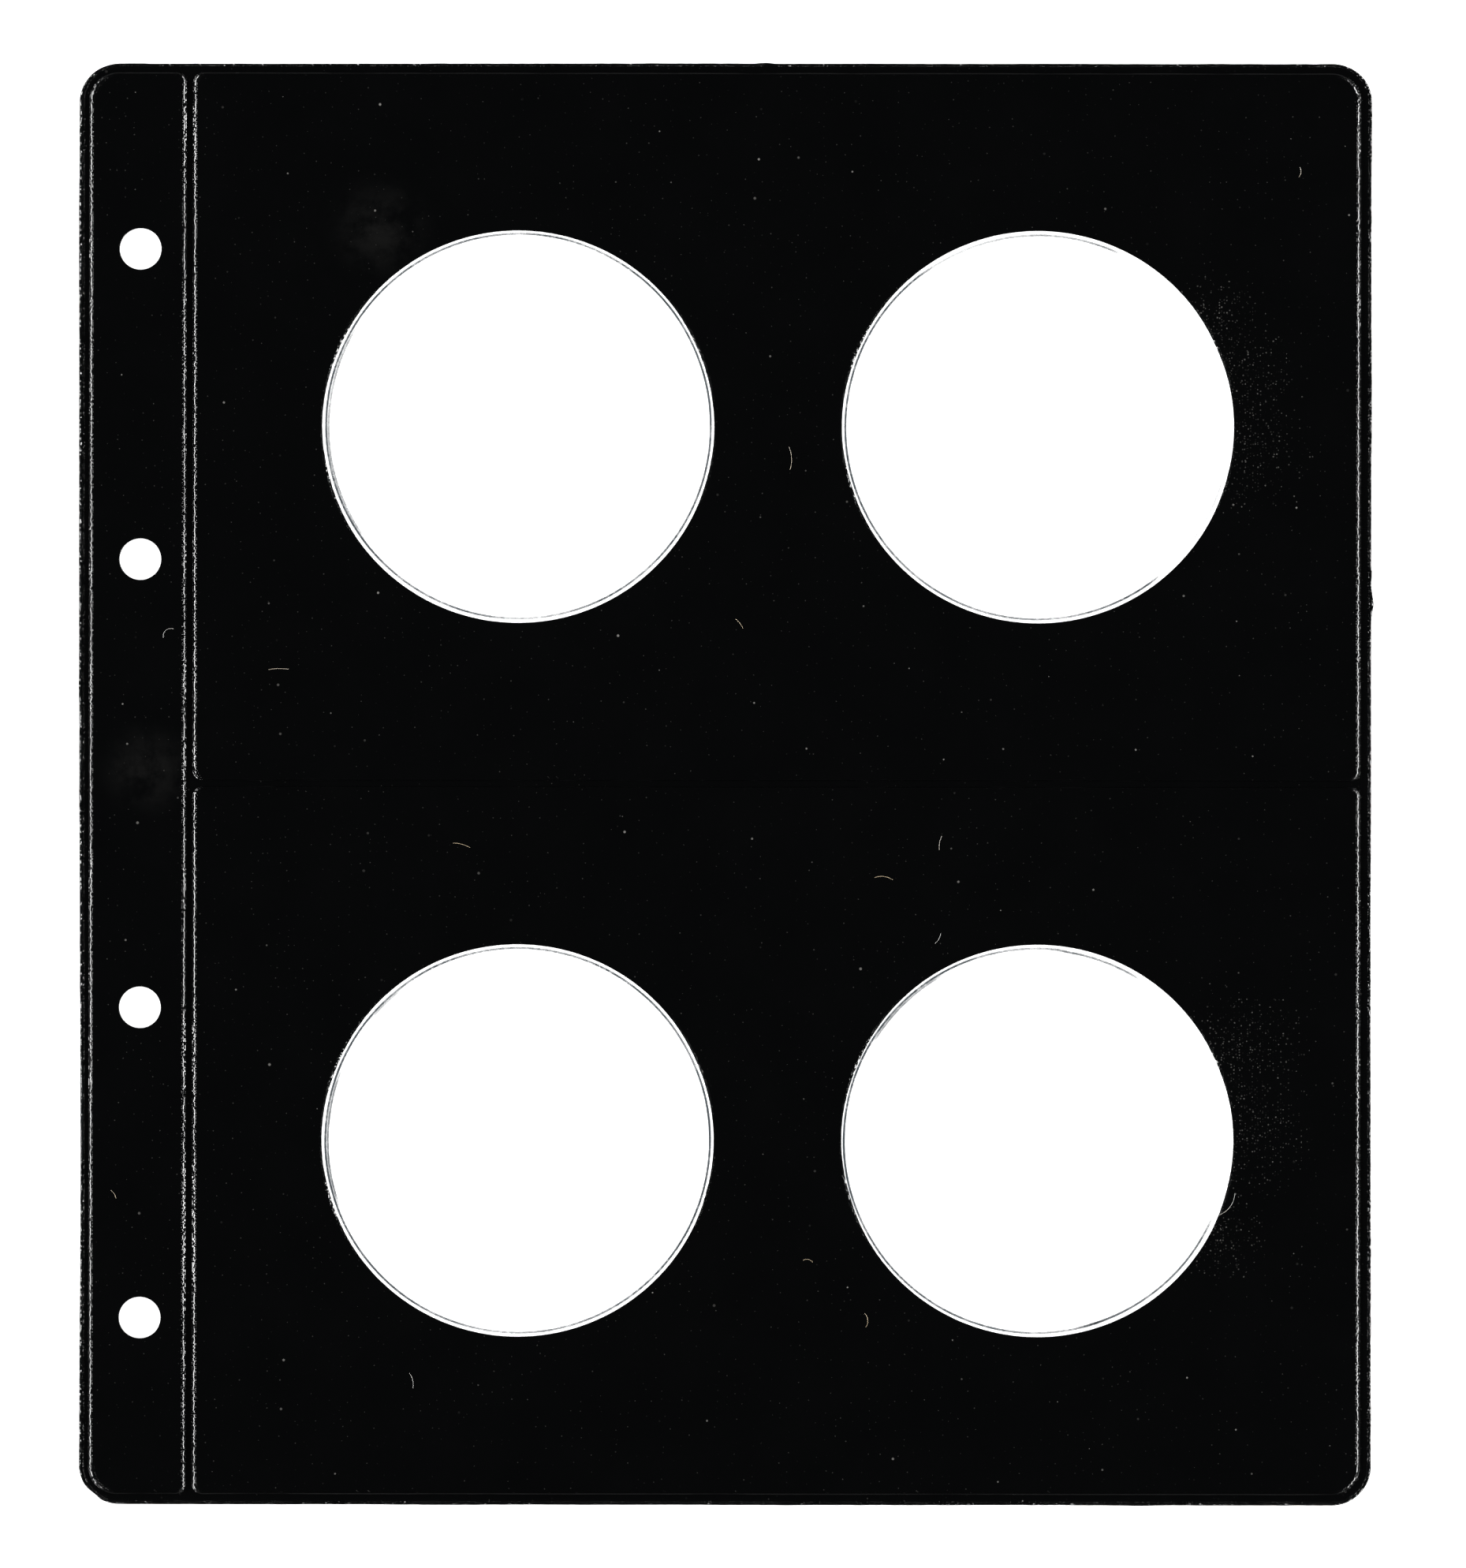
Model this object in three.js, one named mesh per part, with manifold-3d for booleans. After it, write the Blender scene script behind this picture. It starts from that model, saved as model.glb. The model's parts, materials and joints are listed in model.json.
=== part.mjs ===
// Coin album page with four round windows, at real size in millimetres.
//
// Two black vinyl sheets are welded together round the edge, down the binding line and across between the
// rows. Between the welds each sheet is pressed out into a shallow tray, so the welds lie in grooves with
// sloped flanks, and the two trays of a row make one flat pocket. Clear films close the round windows from
// inside. On the back each pocket has a throat under a flap. The binding weld is a living hinge: the leaf
// turns on it while the punched strip stays on the rings of the album.
//
// +X runs across the page away from the binding, +Y up the page, +Z out of its front. The origin is the
// middle of the back face that the page lies on.

import * as THREE from 'three';
import { mergeVertices } from 'three/addons/utils/BufferGeometryUtils.js';
import Module from 'manifold-3d';

// Page
const pageWidth = 187;
const pageHeight = 209;
const pageThickness = 1.2;
const pageCornerRadius = 5.6;
const sheetThickness = 0.3;

// Welds: fused plastic at the bottom of a groove on each face
const weldThickness = 0.4;
const edgeGrooveWidth = 0.9;
const bindingGrooveWidth = 0.9;
const rowGrooveWidth = 0.8;
const flankRun = 0.46;
const shoulderRun = 0.16;
const shoulderDrop = 0.07;
const pocketCornerRadius = 1.6;

// Bead squeezed out along the cut edge
const beadWidth = 0.46;
const beadThickness = 0.52;
const beadEdgeRadius = 0.1;

// Binding strip, with the holes of a four-ring album
const stripWidth = 15.8;
const ringHoleDiameter = 6.1;
const ringHoleInset = 8.45;
const ringHoleInnerSpacing = 65;
const ringHoleOuterSpacing = 45;
const hingeClearance = 0.07;

// Windows, centred in the rows
const windowDiameter = 57;
const windowPitch = 75.4;
const windowLandWidth = 0.3;
const windowLandDepth = 0.12;
const windowEdgeChamfer = 0.2;

// Clear films, ring-welded behind the sheets
const filmThickness = 0.2;
const filmOverlap = 2.5;
const filmStepInset = 0.7;
const filmStepWidth = 0.2;
const filmCreaseDepth = 0.05;
const filmRise = 0.1;
const filmCrown = 0.06;

// Flaps over the pocket throats, in seats pressed into the back sheet
const flapEndInset = 2.7;
const flapHeight = 16;
const flapThickness = 0.3;
const flapCornerRadius = 3;
const flapRootInset = 1.6;
const flapClearance = 0.3;
const throatHeight = 5;
const throatCornerRadius = 2.4;
const throatRootInset = 1.5;
const throatEndInset = 6;

// Facets: their length round a corner, and their number round a hole, a window and the web
const cornerFacet = 1;
const ringHoleSteps = 24;
const windowSteps = 48;
const webSteps = 12;

// How far a cutter runs past the face that it cuts, and the least radius of a corner
const cutterOverrun = 1;
const smallestRadius = 0.05;

// Heights over the plane where the two sheets meet
const faceHeight = pageThickness / 2;
const innerFaceHeight = faceHeight - sheetThickness;
const weldHeight = weldThickness / 2;
const beadHeight = beadThickness / 2;

// Where the welds lie
const edgeWeldWidth = beadWidth + edgeGrooveWidth;
const bindingWeldX = -pageWidth / 2 + stripWidth;
const webRadius = weldHeight;
const hingeGap = webRadius + hingeClearance;

// The outline of the whole page: radii run from the bottom left corner anticlockwise
const page = {
  left: -pageWidth / 2,
  right: pageWidth / 2,
  bottom: -pageHeight / 2,
  top: pageHeight / 2,
  radii: [pageCornerRadius, pageCornerRadius, pageCornerRadius, pageCornerRadius],
};

// The fields between the welds, each at the foot of its flanks
const outerFieldRadius = pageCornerRadius - edgeWeldWidth;
const fieldTop = page.top - edgeWeldWidth;
const rowFoot = rowGrooveWidth / 2;
const rowLeft = bindingWeldX + bindingGrooveWidth / 2;
const rowRight = page.right - edgeWeldWidth;

const stripField = {
  left: page.left + edgeWeldWidth,
  right: bindingWeldX - bindingGrooveWidth / 2,
  bottom: -fieldTop,
  top: fieldTop,
  radii: [outerFieldRadius, pocketCornerRadius, pocketCornerRadius, outerFieldRadius],
};
const topRow = {
  left: rowLeft,
  right: rowRight,
  bottom: rowFoot,
  top: fieldTop,
  radii: [pocketCornerRadius, pocketCornerRadius, outerFieldRadius, pocketCornerRadius],
};
const bottomRow = {
  left: rowLeft,
  right: rowRight,
  bottom: -fieldTop,
  top: -rowFoot,
  radii: [pocketCornerRadius, outerFieldRadius, pocketCornerRadius, pocketCornerRadius],
};
const fields = [stripField, topRow, bottomRow];

// Joining and cutting of solids
const wasm = await Module();
wasm.setup();

function solidOf(geometry) {
  const bare = geometry.clone();
  bare.deleteAttribute('normal');
  bare.deleteAttribute('uv');
  const merged = mergeVertices(bare, 1e-5);
  const corners = merged.index.array;
  const triangles = [];
  for (let i = 0; i < corners.length; i += 3) {
    const [a, b, c] = [corners[i], corners[i + 1], corners[i + 2]];
    if (a !== b && b !== c && c !== a) triangles.push(a, b, c);
  }
  return new wasm.Manifold(new wasm.Mesh({
    numProp: 3,
    vertProperties: new Float32Array(merged.attributes.position.array),
    triVerts: new Uint32Array(triangles),
  }));
}

function geometryOf(solid) {
  const mesh = solid.getMesh();
  const geometry = new THREE.BufferGeometry();
  geometry.setAttribute('position', new THREE.BufferAttribute(new Float32Array(mesh.vertProperties), 3));
  geometry.setIndex(new THREE.BufferAttribute(new Uint32Array(mesh.triVerts), 1));
  return geometry;
}

// The points round a rectangle with four round corners, drawn in by an inset
function outline(area, inset) {
  const quarter = Math.PI / 2;
  const sides = [[-1, -1], [1, -1], [1, 1], [-1, 1]];
  return area.radii.flatMap((fullRadius, corner) => {
    const [sideX, sideY] = sides[corner];
    const radius = Math.max(fullRadius - inset, smallestRadius);
    const x = (sideX < 0 ? area.left : area.right) - sideX * (inset + radius);
    const y = (sideY < 0 ? area.bottom : area.top) - sideY * (inset + radius);
    const start = (corner + 2) * quarter;
    const steps = Math.max(Math.ceil(fullRadius * quarter / cornerFacet), 1);
    return new THREE.EllipseCurve(x, y, radius, radius, start, start + quarter).getPoints(steps);
  });
}

// A closed solid through the same area at several heights and insets, from the bottom up
function loft(area, levels) {
  const rings = levels.map(({ inset, z }) => outline(area, inset).map((p) => new THREE.Vector3(p.x, p.y, z)));
  const count = rings[0].length;
  const positions = rings.flat().flatMap((p) => [p.x, p.y, p.z]);
  const indices = [];
  for (let ring = 0; ring + 1 < rings.length; ring++) {
    for (let i = 0; i < count; i++) {
      const a = ring * count + i;
      const b = ring * count + (i + 1) % count;
      indices.push(a, b, b + count, a, b + count, a + count);
    }
  }
  const cap = THREE.ShapeUtils.triangulateShape(rings[0].map((p) => new THREE.Vector2(p.x, p.y)), []);
  const last = (rings.length - 1) * count;
  for (const [a, b, c] of cap) indices.push(a, c, b, last + a, last + b, last + c);
  const geometry = new THREE.BufferGeometry();
  geometry.setAttribute('position', new THREE.Float32BufferAttribute(positions, 3));
  geometry.setIndex(indices);
  return geometry;
}

function slab(area, low, high) {
  return loft(area, [{ inset: 0, z: low }, { inset: 0, z: high }]);
}

// A profile of radius and height, from the axis at the top round to the axis at the bottom, turned about Z
function revolve(profile, steps) {
  const points = profile.map(([radius, z]) => new THREE.Vector2(radius, z)).reverse();
  return new THREE.LatheGeometry(points, steps).rotateX(Math.PI / 2);
}

// The same piece for the other face of the page
function mirrored(geometry) {
  const copy = geometry.clone().scale(1, 1, -1);
  const index = copy.index.array;
  for (let i = 0; i < index.length; i += 3) {
    const second = index[i + 1];
    index[i + 1] = index[i + 2];
    index[i + 2] = second;
  }
  return copy;
}

// One pressed sheet of the whole page, with its face up
function trayBetweenWelds(field) {
  return loft(field, [
    { inset: 0, z: 0 },
    { inset: 0, z: weldHeight },
    { inset: flankRun, z: faceHeight - shoulderDrop },
    { inset: flankRun + shoulderRun, z: faceHeight },
  ]);
}

function hollowUnderTray(field) {
  return loft(field, [
    { inset: sheetThickness, z: -cutterOverrun },
    { inset: sheetThickness, z: 0 },
    { inset: flankRun + sheetThickness / 2, z: innerFaceHeight },
  ]);
}

function edgeFlange() {
  const flange = solidOf(loft(page, [
    { inset: 0, z: 0 },
    { inset: 0, z: beadHeight - beadEdgeRadius },
    { inset: beadEdgeRadius, z: beadHeight },
  ]));
  const insideBead = loft(page, [
    { inset: beadWidth, z: weldHeight },
    { inset: beadWidth - beadEdgeRadius, z: beadHeight },
    { inset: beadWidth - beadEdgeRadius, z: beadHeight + cutterOverrun },
  ]);
  const foldRelief = slab({
    left: bindingWeldX - bindingGrooveWidth / 2,
    right: bindingWeldX + bindingGrooveWidth / 2,
    bottom: page.bottom - cutterOverrun,
    top: page.top + cutterOverrun,
    radii: [0, 0, 0, 0],
  }, weldHeight, beadHeight + cutterOverrun);
  return flange.subtract(solidOf(insideBead)).subtract(solidOf(foldRelief));
}

function pressedSheet() {
  return fields.reduce((sheet, field) => sheet.add(solidOf(trayBetweenWelds(field))), edgeFlange());
}

// Windows: a stepped edge round a hole, at the centre of each half row
const rowCentreX = (rowLeft + rowRight) / 2;
const windowRadius = windowDiameter / 2;
const windows = [];
for (const [rowName, row] of [['top', topRow], ['bottom', bottomRow]]) {
  for (const [sideName, side] of [['left', -1], ['right', 1]]) {
    windows.push({
      name: `${rowName}_${sideName}`,
      x: rowCentreX + side * windowPitch / 2,
      y: (row.bottom + row.top) / 2,
    });
  }
}

function windowCutter() {
  const landRadius = windowRadius + windowLandWidth;
  const landHeight = faceHeight - windowLandDepth;
  const rimRadius = landRadius + windowEdgeChamfer;
  return revolve([
    [0, faceHeight + cutterOverrun],
    [rimRadius, faceHeight + cutterOverrun],
    [rimRadius, faceHeight],
    [landRadius, landHeight],
    [windowRadius, landHeight],
    [windowRadius, -cutterOverrun],
    [0, -cutterOverrun],
  ], windowSteps);
}

function clearFilm() {
  const filmRadius = windowRadius + filmOverlap;
  const stepOuter = windowRadius - filmStepInset + filmStepWidth;
  const stepInner = stepOuter - 2 * filmStepWidth;
  const crownRadius = stepInner / 2;
  const front = innerFaceHeight;
  const back = innerFaceHeight - filmThickness;
  return revolve([
    [0, front + filmRise + filmCrown],
    [crownRadius, front + filmRise + 0.75 * filmCrown],
    [stepInner, front + filmRise],
    [(stepInner + stepOuter) / 2, front - filmCreaseDepth],
    [stepOuter, front],
    [filmRadius, front],
    [filmRadius, back],
    [stepOuter, back],
    [stepInner, back + filmRise],
    [0, back + filmRise + filmCrown],
  ], windowSteps);
}

// Ring holes, in two pairs about the middle of the page
const ringHoleX = page.left + ringHoleInset;
const ringHoleHeights = [-1, 1].flatMap((side) => [
  side * ringHoleInnerSpacing / 2,
  side * (ringHoleInnerSpacing / 2 + ringHoleOuterSpacing),
]);

function ringHoleCutter(y) {
  const radius = ringHoleDiameter / 2;
  const length = pageThickness + 2 * cutterOverrun;
  return new THREE.CylinderGeometry(radius, radius, length, ringHoleSteps)
    .rotateX(Math.PI / 2)
    .translate(ringHoleX, y, 0);
}

// Flaps, with the seat that each one lies in and the throat that it covers
function grown(area, margin) {
  return {
    left: area.left - margin,
    right: area.right + margin,
    bottom: area.bottom - margin,
    top: area.top + margin,
    radii: area.radii.map((r) => r + margin),
  };
}

function flapArea(row) {
  const root = row.top - flapRootInset;
  return {
    left: row.left + flapEndInset,
    right: row.right - flapEndInset,
    bottom: root - flapHeight,
    top: root,
    radii: [flapCornerRadius, flapCornerRadius, flapClearance, flapClearance],
  };
}

function throatArea(row) {
  const flap = flapArea(row);
  const top = flap.top - throatRootInset;
  return {
    left: flap.left + throatEndInset,
    right: flap.right - throatEndInset,
    bottom: top - throatHeight,
    top,
    radii: [throatCornerRadius, throatCornerRadius, throatCornerRadius, throatCornerRadius],
  };
}

function cutFlapSeat(sheet, row) {
  const recess = grown(flapArea(row), flapClearance);
  const seatHeight = faceHeight - flapThickness;
  return sheet
    .subtract(solidOf(slab(recess, seatHeight, faceHeight + cutterOverrun)))
    .subtract(solidOf(slab(throatArea(row), -cutterOverrun, seatHeight + cutterOverrun / 2)));
}

function hollowBehindFlapSeat(row) {
  const panel = grown(flapArea(row), flapClearance + sheetThickness);
  const panelInside = faceHeight - flapThickness - sheetThickness;
  return solidOf(hollowUnderTray(row)).subtract(solidOf(slab(panel, panelInside, faceHeight)));
}

// The two sheets, each cut in two along the fold
function hollowed(sheet, hollows) {
  return hollows.reduce((solid, hollow) => solid.subtract(hollow), sheet);
}

function frontSheet() {
  return hollowed(pressedSheet(), fields.map((field) => solidOf(hollowUnderTray(field))));
}

function backSheetFaceUp() {
  const hollows = [solidOf(hollowUnderTray(stripField)), ...[topRow, bottomRow].map(hollowBehindFlapSeat)];
  return [topRow, bottomRow].reduce(cutFlapSeat, hollowed(pressedSheet(), hollows));
}

function stripPart(sheet) {
  const half = slab({
    left: page.left - cutterOverrun,
    right: bindingWeldX - hingeGap,
    bottom: page.bottom - cutterOverrun,
    top: page.top + cutterOverrun,
    radii: [0, 0, 0, 0],
  }, -pageThickness, pageThickness);
  const strip = sheet.intersect(solidOf(half));
  return geometryOf(ringHoleHeights.reduce((solid, y) => solid.subtract(solidOf(ringHoleCutter(y))), strip));
}

function leafPart(sheet) {
  const half = slab({
    left: bindingWeldX + hingeGap,
    right: page.right + cutterOverrun,
    bottom: page.bottom - cutterOverrun,
    top: page.top + cutterOverrun,
    radii: [0, 0, 0, 0],
  }, -pageThickness, pageThickness);
  const leaf = sheet.intersect(solidOf(half));
  return geometryOf(windows.reduce(
    (solid, { x, y }) => solid.subtract(solidOf(windowCutter().translate(x, y, 0))),
    leaf,
  ));
}

// The fused web that the leaf folds on
function hingeWeb() {
  return new THREE.CylinderGeometry(webRadius, webRadius, pageHeight, webSteps).translate(bindingWeldX, 0, 0);
}

// Materials
const blackVinyl = () => new THREE.MeshStandardMaterial({ color: 0x0b0c0d, roughness: 0.35, metalness: 0 });
const clearVinyl = () => new THREE.MeshStandardMaterial({
  color: 0xf2f5f6,
  roughness: 0.1,
  metalness: 0,
  transparent: true,
  opacity: 0.35,
});

// Assembly, with the plane where the sheets meet at half the page's thickness
const assembly = new THREE.Group();
assembly.position.z = pageThickness / 2;

function addPiece(name, geometry, material) {
  const mesh = new THREE.Mesh(geometry, material);
  mesh.name = name;
  assembly.add(mesh);
  return mesh;
}

const front = frontSheet();
const back = backSheetFaceUp();
addPiece('strip_front_sheet', stripPart(front), blackVinyl());
addPiece('strip_back_sheet', mirrored(stripPart(back)), blackVinyl());
addPiece('binding_weld', hingeWeb(), blackVinyl());
addPiece('leaf_front_sheet', leafPart(front), blackVinyl());
addPiece('leaf_back_sheet', mirrored(leafPart(back)), blackVinyl());

for (const { name, x, y } of windows) {
  addPiece(`front_film_${name}`, clearFilm(), clearVinyl()).position.set(x, y, 0);
  addPiece(`back_film_${name}`, mirrored(clearFilm()), clearVinyl()).position.set(x, y, 0);
}

for (const [name, row] of [['top_flap', topRow], ['bottom_flap', bottomRow]]) {
  addPiece(name, mirrored(slab(flapArea(row), faceHeight - flapThickness, faceHeight)), blackVinyl());
}

const coinAlbumPage = new THREE.Group();
coinAlbumPage.add(assembly);

export default coinAlbumPage;
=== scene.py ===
# %% [markdown]
# # A coin album page in black vinyl
#
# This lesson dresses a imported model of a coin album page: two black vinyl sheets, pressed and welded
# together, with four round windows of clear film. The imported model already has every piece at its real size
# and place, so each step here asks the frame where a piece is, and then makes the finer surface that the eye
# sees.

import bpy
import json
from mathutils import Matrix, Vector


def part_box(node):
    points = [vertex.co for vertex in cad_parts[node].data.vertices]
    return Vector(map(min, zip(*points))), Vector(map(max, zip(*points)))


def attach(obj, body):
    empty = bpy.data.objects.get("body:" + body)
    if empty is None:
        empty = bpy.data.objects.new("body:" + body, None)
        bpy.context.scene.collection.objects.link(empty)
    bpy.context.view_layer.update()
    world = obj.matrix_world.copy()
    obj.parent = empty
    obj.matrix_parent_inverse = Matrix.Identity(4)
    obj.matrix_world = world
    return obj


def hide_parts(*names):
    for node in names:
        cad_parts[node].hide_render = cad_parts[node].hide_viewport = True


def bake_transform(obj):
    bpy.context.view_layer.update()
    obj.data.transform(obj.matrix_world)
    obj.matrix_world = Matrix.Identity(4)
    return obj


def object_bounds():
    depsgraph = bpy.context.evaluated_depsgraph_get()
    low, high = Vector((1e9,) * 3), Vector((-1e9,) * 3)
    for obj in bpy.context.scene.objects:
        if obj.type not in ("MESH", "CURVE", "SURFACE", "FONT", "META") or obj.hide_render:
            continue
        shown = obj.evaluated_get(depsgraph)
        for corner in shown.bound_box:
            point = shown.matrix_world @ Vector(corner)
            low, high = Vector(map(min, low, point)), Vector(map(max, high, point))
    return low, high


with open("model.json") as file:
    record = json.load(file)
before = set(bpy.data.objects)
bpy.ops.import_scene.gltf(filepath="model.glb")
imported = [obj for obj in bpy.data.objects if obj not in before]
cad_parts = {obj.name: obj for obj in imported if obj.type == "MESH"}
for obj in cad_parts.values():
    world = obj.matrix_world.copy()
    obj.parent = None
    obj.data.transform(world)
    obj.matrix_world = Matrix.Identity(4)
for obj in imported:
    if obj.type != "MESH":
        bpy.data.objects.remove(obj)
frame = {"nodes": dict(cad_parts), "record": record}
cad_low, cad_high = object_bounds()

# %% [markdown]
# ## Places
#
# Lengths are in metres, so a value in millimetres is written as a number times `mm`. Nothing is placed by
# eye: the record gives the fold and the ring holes, and the box of each clear film and each flap gives the
# middle of its window and the outline of its seat.

# %% Places from the frame
import json
import math
from collections import namedtuple

import bmesh
import bpy
from mathutils import Matrix, Vector, noise

mm = 0.001
record = frame["record"]
joint_places = {joint["name"]: Vector(joint["pos_m"]) for joint in record["behaviour"]["joints"]}
fold_x = joint_places["leaf_turn"].x
seam_z = joint_places["leaf_turn"].z
half_thickness = cad_high.z - seam_z

ROWS = ("top", "bottom")
SIDES = ("left", "right")
window_centres = {}
for row_name in ROWS:
    for side_name in SIDES:
        low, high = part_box(f"front_film_{row_name}_{side_name}")
        window_centres[row_name, side_name] = (low + high) / 2
film_low, film_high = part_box("front_film_top_left")
film_radius = (film_high.x - film_low.x) / 2

ring_holes = []
for opening in record["physics"]["openings"]:
    low, high = (Vector(corner) for corner in opening["box_m"])
    ring_holes.append((low + high) / 2)
print("fold at x", round(fold_x / mm, 2), "mm, half thickness", round(half_thickness / mm, 2), "mm")

# %% [markdown]
# ## Areas
#
# The pressed fields, the flaps and their seats are all rectangles with four round corners. An `Area` holds
# one, with the radii in the order lower left, lower right, upper right, upper left. `depth_inside` tells how
# deep a point lies inside an area, which later tells the bead from the groove and the groove from the flank.

# %% Rounded rectangles
Area = namedtuple("Area", "left right bottom top radii")
CORNER_ORDER = {(-1, -1): 0, (1, -1): 1, (1, 1): 2, (-1, 1): 3}


def grown(area, margin):
    """The same area, larger by a margin on every side."""
    radii = [radius + margin for radius in area.radii]
    return Area(area.left - margin, area.right + margin, area.bottom - margin, area.top + margin, radii)


def depth_inside(area, x, y):
    """How deep a point lies inside an area, and the direction straight out through the nearest side."""
    centre_x, centre_y = (area.left + area.right) / 2, (area.bottom + area.top) / 2
    side_x, side_y = (1 if x > centre_x else -1), (1 if y > centre_y else -1)
    radius = area.radii[CORNER_ORDER[side_x, side_y]]
    over_x = abs(x - centre_x) - ((area.right - area.left) / 2 - radius)
    over_y = abs(y - centre_y) - ((area.top - area.bottom) / 2 - radius)
    if over_x > 0 and over_y > 0:
        reach = math.hypot(over_x, over_y)
        return radius - reach, Vector((side_x * over_x / reach, side_y * over_y / reach, 0))
    if over_x > over_y:
        return radius - over_x, Vector((side_x, 0, 0))
    return radius - over_y, Vector((0, side_y, 0))


PAGE_RADIUS = 5.6 * mm
POCKET_RADIUS = 1.6 * mm
BEAD_WIDTH = 0.46 * mm
EDGE_GROOVE = 0.9 * mm
BINDING_GROOVE = 0.9 * mm
ROW_GROOVE = 0.8 * mm
EDGE_WELD = BEAD_WIDTH + EDGE_GROOVE

PAGE = Area(cad_low.x, cad_high.x, cad_low.y, cad_high.y, [PAGE_RADIUS] * 4)
outer = PAGE_RADIUS - EDGE_WELD
row_left, row_right = fold_x + BINDING_GROOVE / 2, PAGE.right - EDGE_WELD
field_low, field_high = PAGE.bottom + EDGE_WELD, PAGE.top - EDGE_WELD
strip_field = Area(PAGE.left + EDGE_WELD, fold_x - BINDING_GROOVE / 2, field_low, field_high,
                   [outer, POCKET_RADIUS, POCKET_RADIUS, outer])
top_row_field = Area(row_left, row_right, ROW_GROOVE / 2, field_high,
                     [POCKET_RADIUS, POCKET_RADIUS, outer, POCKET_RADIUS])
bottom_row_field = Area(row_left, row_right, field_low, -ROW_GROOVE / 2,
                        [POCKET_RADIUS, outer, POCKET_RADIUS, POCKET_RADIUS])
FIELDS = [strip_field, top_row_field, bottom_row_field]
print("page", [round((high - low) / mm, 1) for low, high in zip(cad_low, cad_high)], "mm,",
      len(FIELDS), "raised fields")

# %% [markdown]
# ## Faces that are pressed
#
# A heated tool presses the vinyl, so every edge is a set of narrow bands that follow one outline. That is
# what inset does: it draws a face in by a run, lifts it by a rise, and leaves a band behind. So each field
# starts as one flat face with its corners bevelled round, and a list of insets makes its flank. The long
# sides are cut into short steps first, so that the bands can be made a little uneven afterwards.

# %% A flat face to start from
STEP = 0.42 * mm
COARSE_STEP = 3 * mm


def facing_up(face):
    face.normal_update()
    if face.normal.z < 0:
        face.normal_flip()
    return face


def area_face(area, z, step=STEP):
    """A mesh that holds one flat face with four round corners."""
    bm = bmesh.new()
    bmesh.ops.create_grid(bm, x_segments=1, y_segments=1, size=1)
    corners = {}
    for vert in bm.verts:
        side_x, side_y = (1 if vert.co.x > 0 else -1), (1 if vert.co.y > 0 else -1)
        corners[vert] = area.radii[CORNER_ORDER[side_x, side_y]]
        vert.co = (area.right if side_x > 0 else area.left, area.top if side_y > 0 else area.bottom, z)
    for radius in sorted(set(area.radii)):
        alike = [vert for vert, its_radius in corners.items() if its_radius == radius]
        segments = max(3, round(radius * math.pi / 2 / step))
        bmesh.ops.bevel(bm, geom=alike, offset=radius, offset_type="OFFSET", segments=segments,
                        profile=0.5, affect="VERTICES", material=-1)
    for edge in [edge for edge in bm.edges if edge.calc_length() > 2 * step]:
        bmesh.ops.subdivide_edges(bm, edges=[edge], cuts=round(edge.calc_length() / step) - 1)
    return bm, facing_up(bm.faces[:][0])


def disc_face(centre, radius, z, segments):
    """A mesh that holds one round flat face."""
    bm = bmesh.new()
    bmesh.ops.create_circle(bm, cap_ends=True, radius=radius, segments=segments)
    bmesh.ops.translate(bm, verts=bm.verts, vec=(centre.x, centre.y, z))
    return bm, facing_up(bm.faces[:][0])


test_bm = area_face(PAGE, 0)[0]
print("the page's outline has", len(test_bm.verts), "points")
test_bm.free()

# %% [markdown]
# The helpers below work on heights. A skin is made of loops that lie at a few known heights, so `fill` can
# close the flat between all open loops of one height at once, with the holes left open.

# %% Insets, walls and fills
TINY = 1e-7


def press(bm, face, profile):
    """Draws the face in and lifts it, once for each (run, rise) of the profile in millimetres."""
    for run, rise in profile:
        bmesh.ops.inset_individual(bm, faces=[face], thickness=run * mm, depth=rise * mm,
                                   use_even_offset=True)


def take_out(bm, face):
    """Removes the face and keeps its edge."""
    bmesh.ops.delete(bm, geom=[face], context="FACES_ONLY")


def open_edges_at(bm, z):
    """The edges at one height that have a face on one side only, or on none."""
    flat = [edge for edge in bm.edges if all(abs(vert.co.z - z) < TINY for vert in edge.verts)]
    return [edge for edge in flat if len(edge.link_faces) < 2]


def draw_wall(bm, z_from, z_to):
    """Draws the open edge at one height straight to another height."""
    drawn = bmesh.ops.extrude_edge_only(bm, edges=open_edges_at(bm, z_from))["geom"]
    verts = [item for item in drawn if isinstance(item, bmesh.types.BMVert)]
    bmesh.ops.translate(bm, verts=verts, vec=(0, 0, z_to - z_from))


def fill(bm, z):
    """Closes the flat between the open edges at one height."""
    bmesh.ops.triangle_fill(bm, edges=open_edges_at(bm, z), use_beauty=True, normal=(0, 0, 1))


def add_to(bm, part):
    """Puts one mesh's geometry into another."""
    mesh = bpy.data.meshes.new("part")
    part.to_mesh(mesh)
    part.free()
    bm.from_mesh(mesh)
    bpy.data.meshes.remove(mesh)


# %% [markdown]
# ## The outer skin of a sheet
#
# From the edge inwards a page has a round bead, a groove that is fused hard, and a flank that rises to the
# flat face. The profiles are lists of (run, rise). Each starts or ends with a narrow flat band, so that the
# smooth shading of the curve stops there and doesn't run out across the flat.

# %% Heights and profiles of the outer skin
SHEET = 0.3 * mm
WELD_HEIGHT = 0.2 * mm
FACE_Z = half_thickness
INNER_Z = half_thickness - SHEET

EDGE_PROFILE = [(0.03, 0.17), (0.05, 0.05), (0.12, 0.015), (0.16, 0), (0.1, -0.035), (0.1, 0)]
FLANK_PROFILE = [(0.1, 0), (0.02, 0.01), (0.12, 0.175), (0.11, 0.084), (0.11, 0.073), (0.08, 0.035),
                 (0.08, 0.017), (0.08, 0.006), (0.25, 0)]
FLANK_START = 0.1 * mm
FLANK_RUN = sum(run for run, rise in FLANK_PROFILE[1:-1]) * mm

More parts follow.
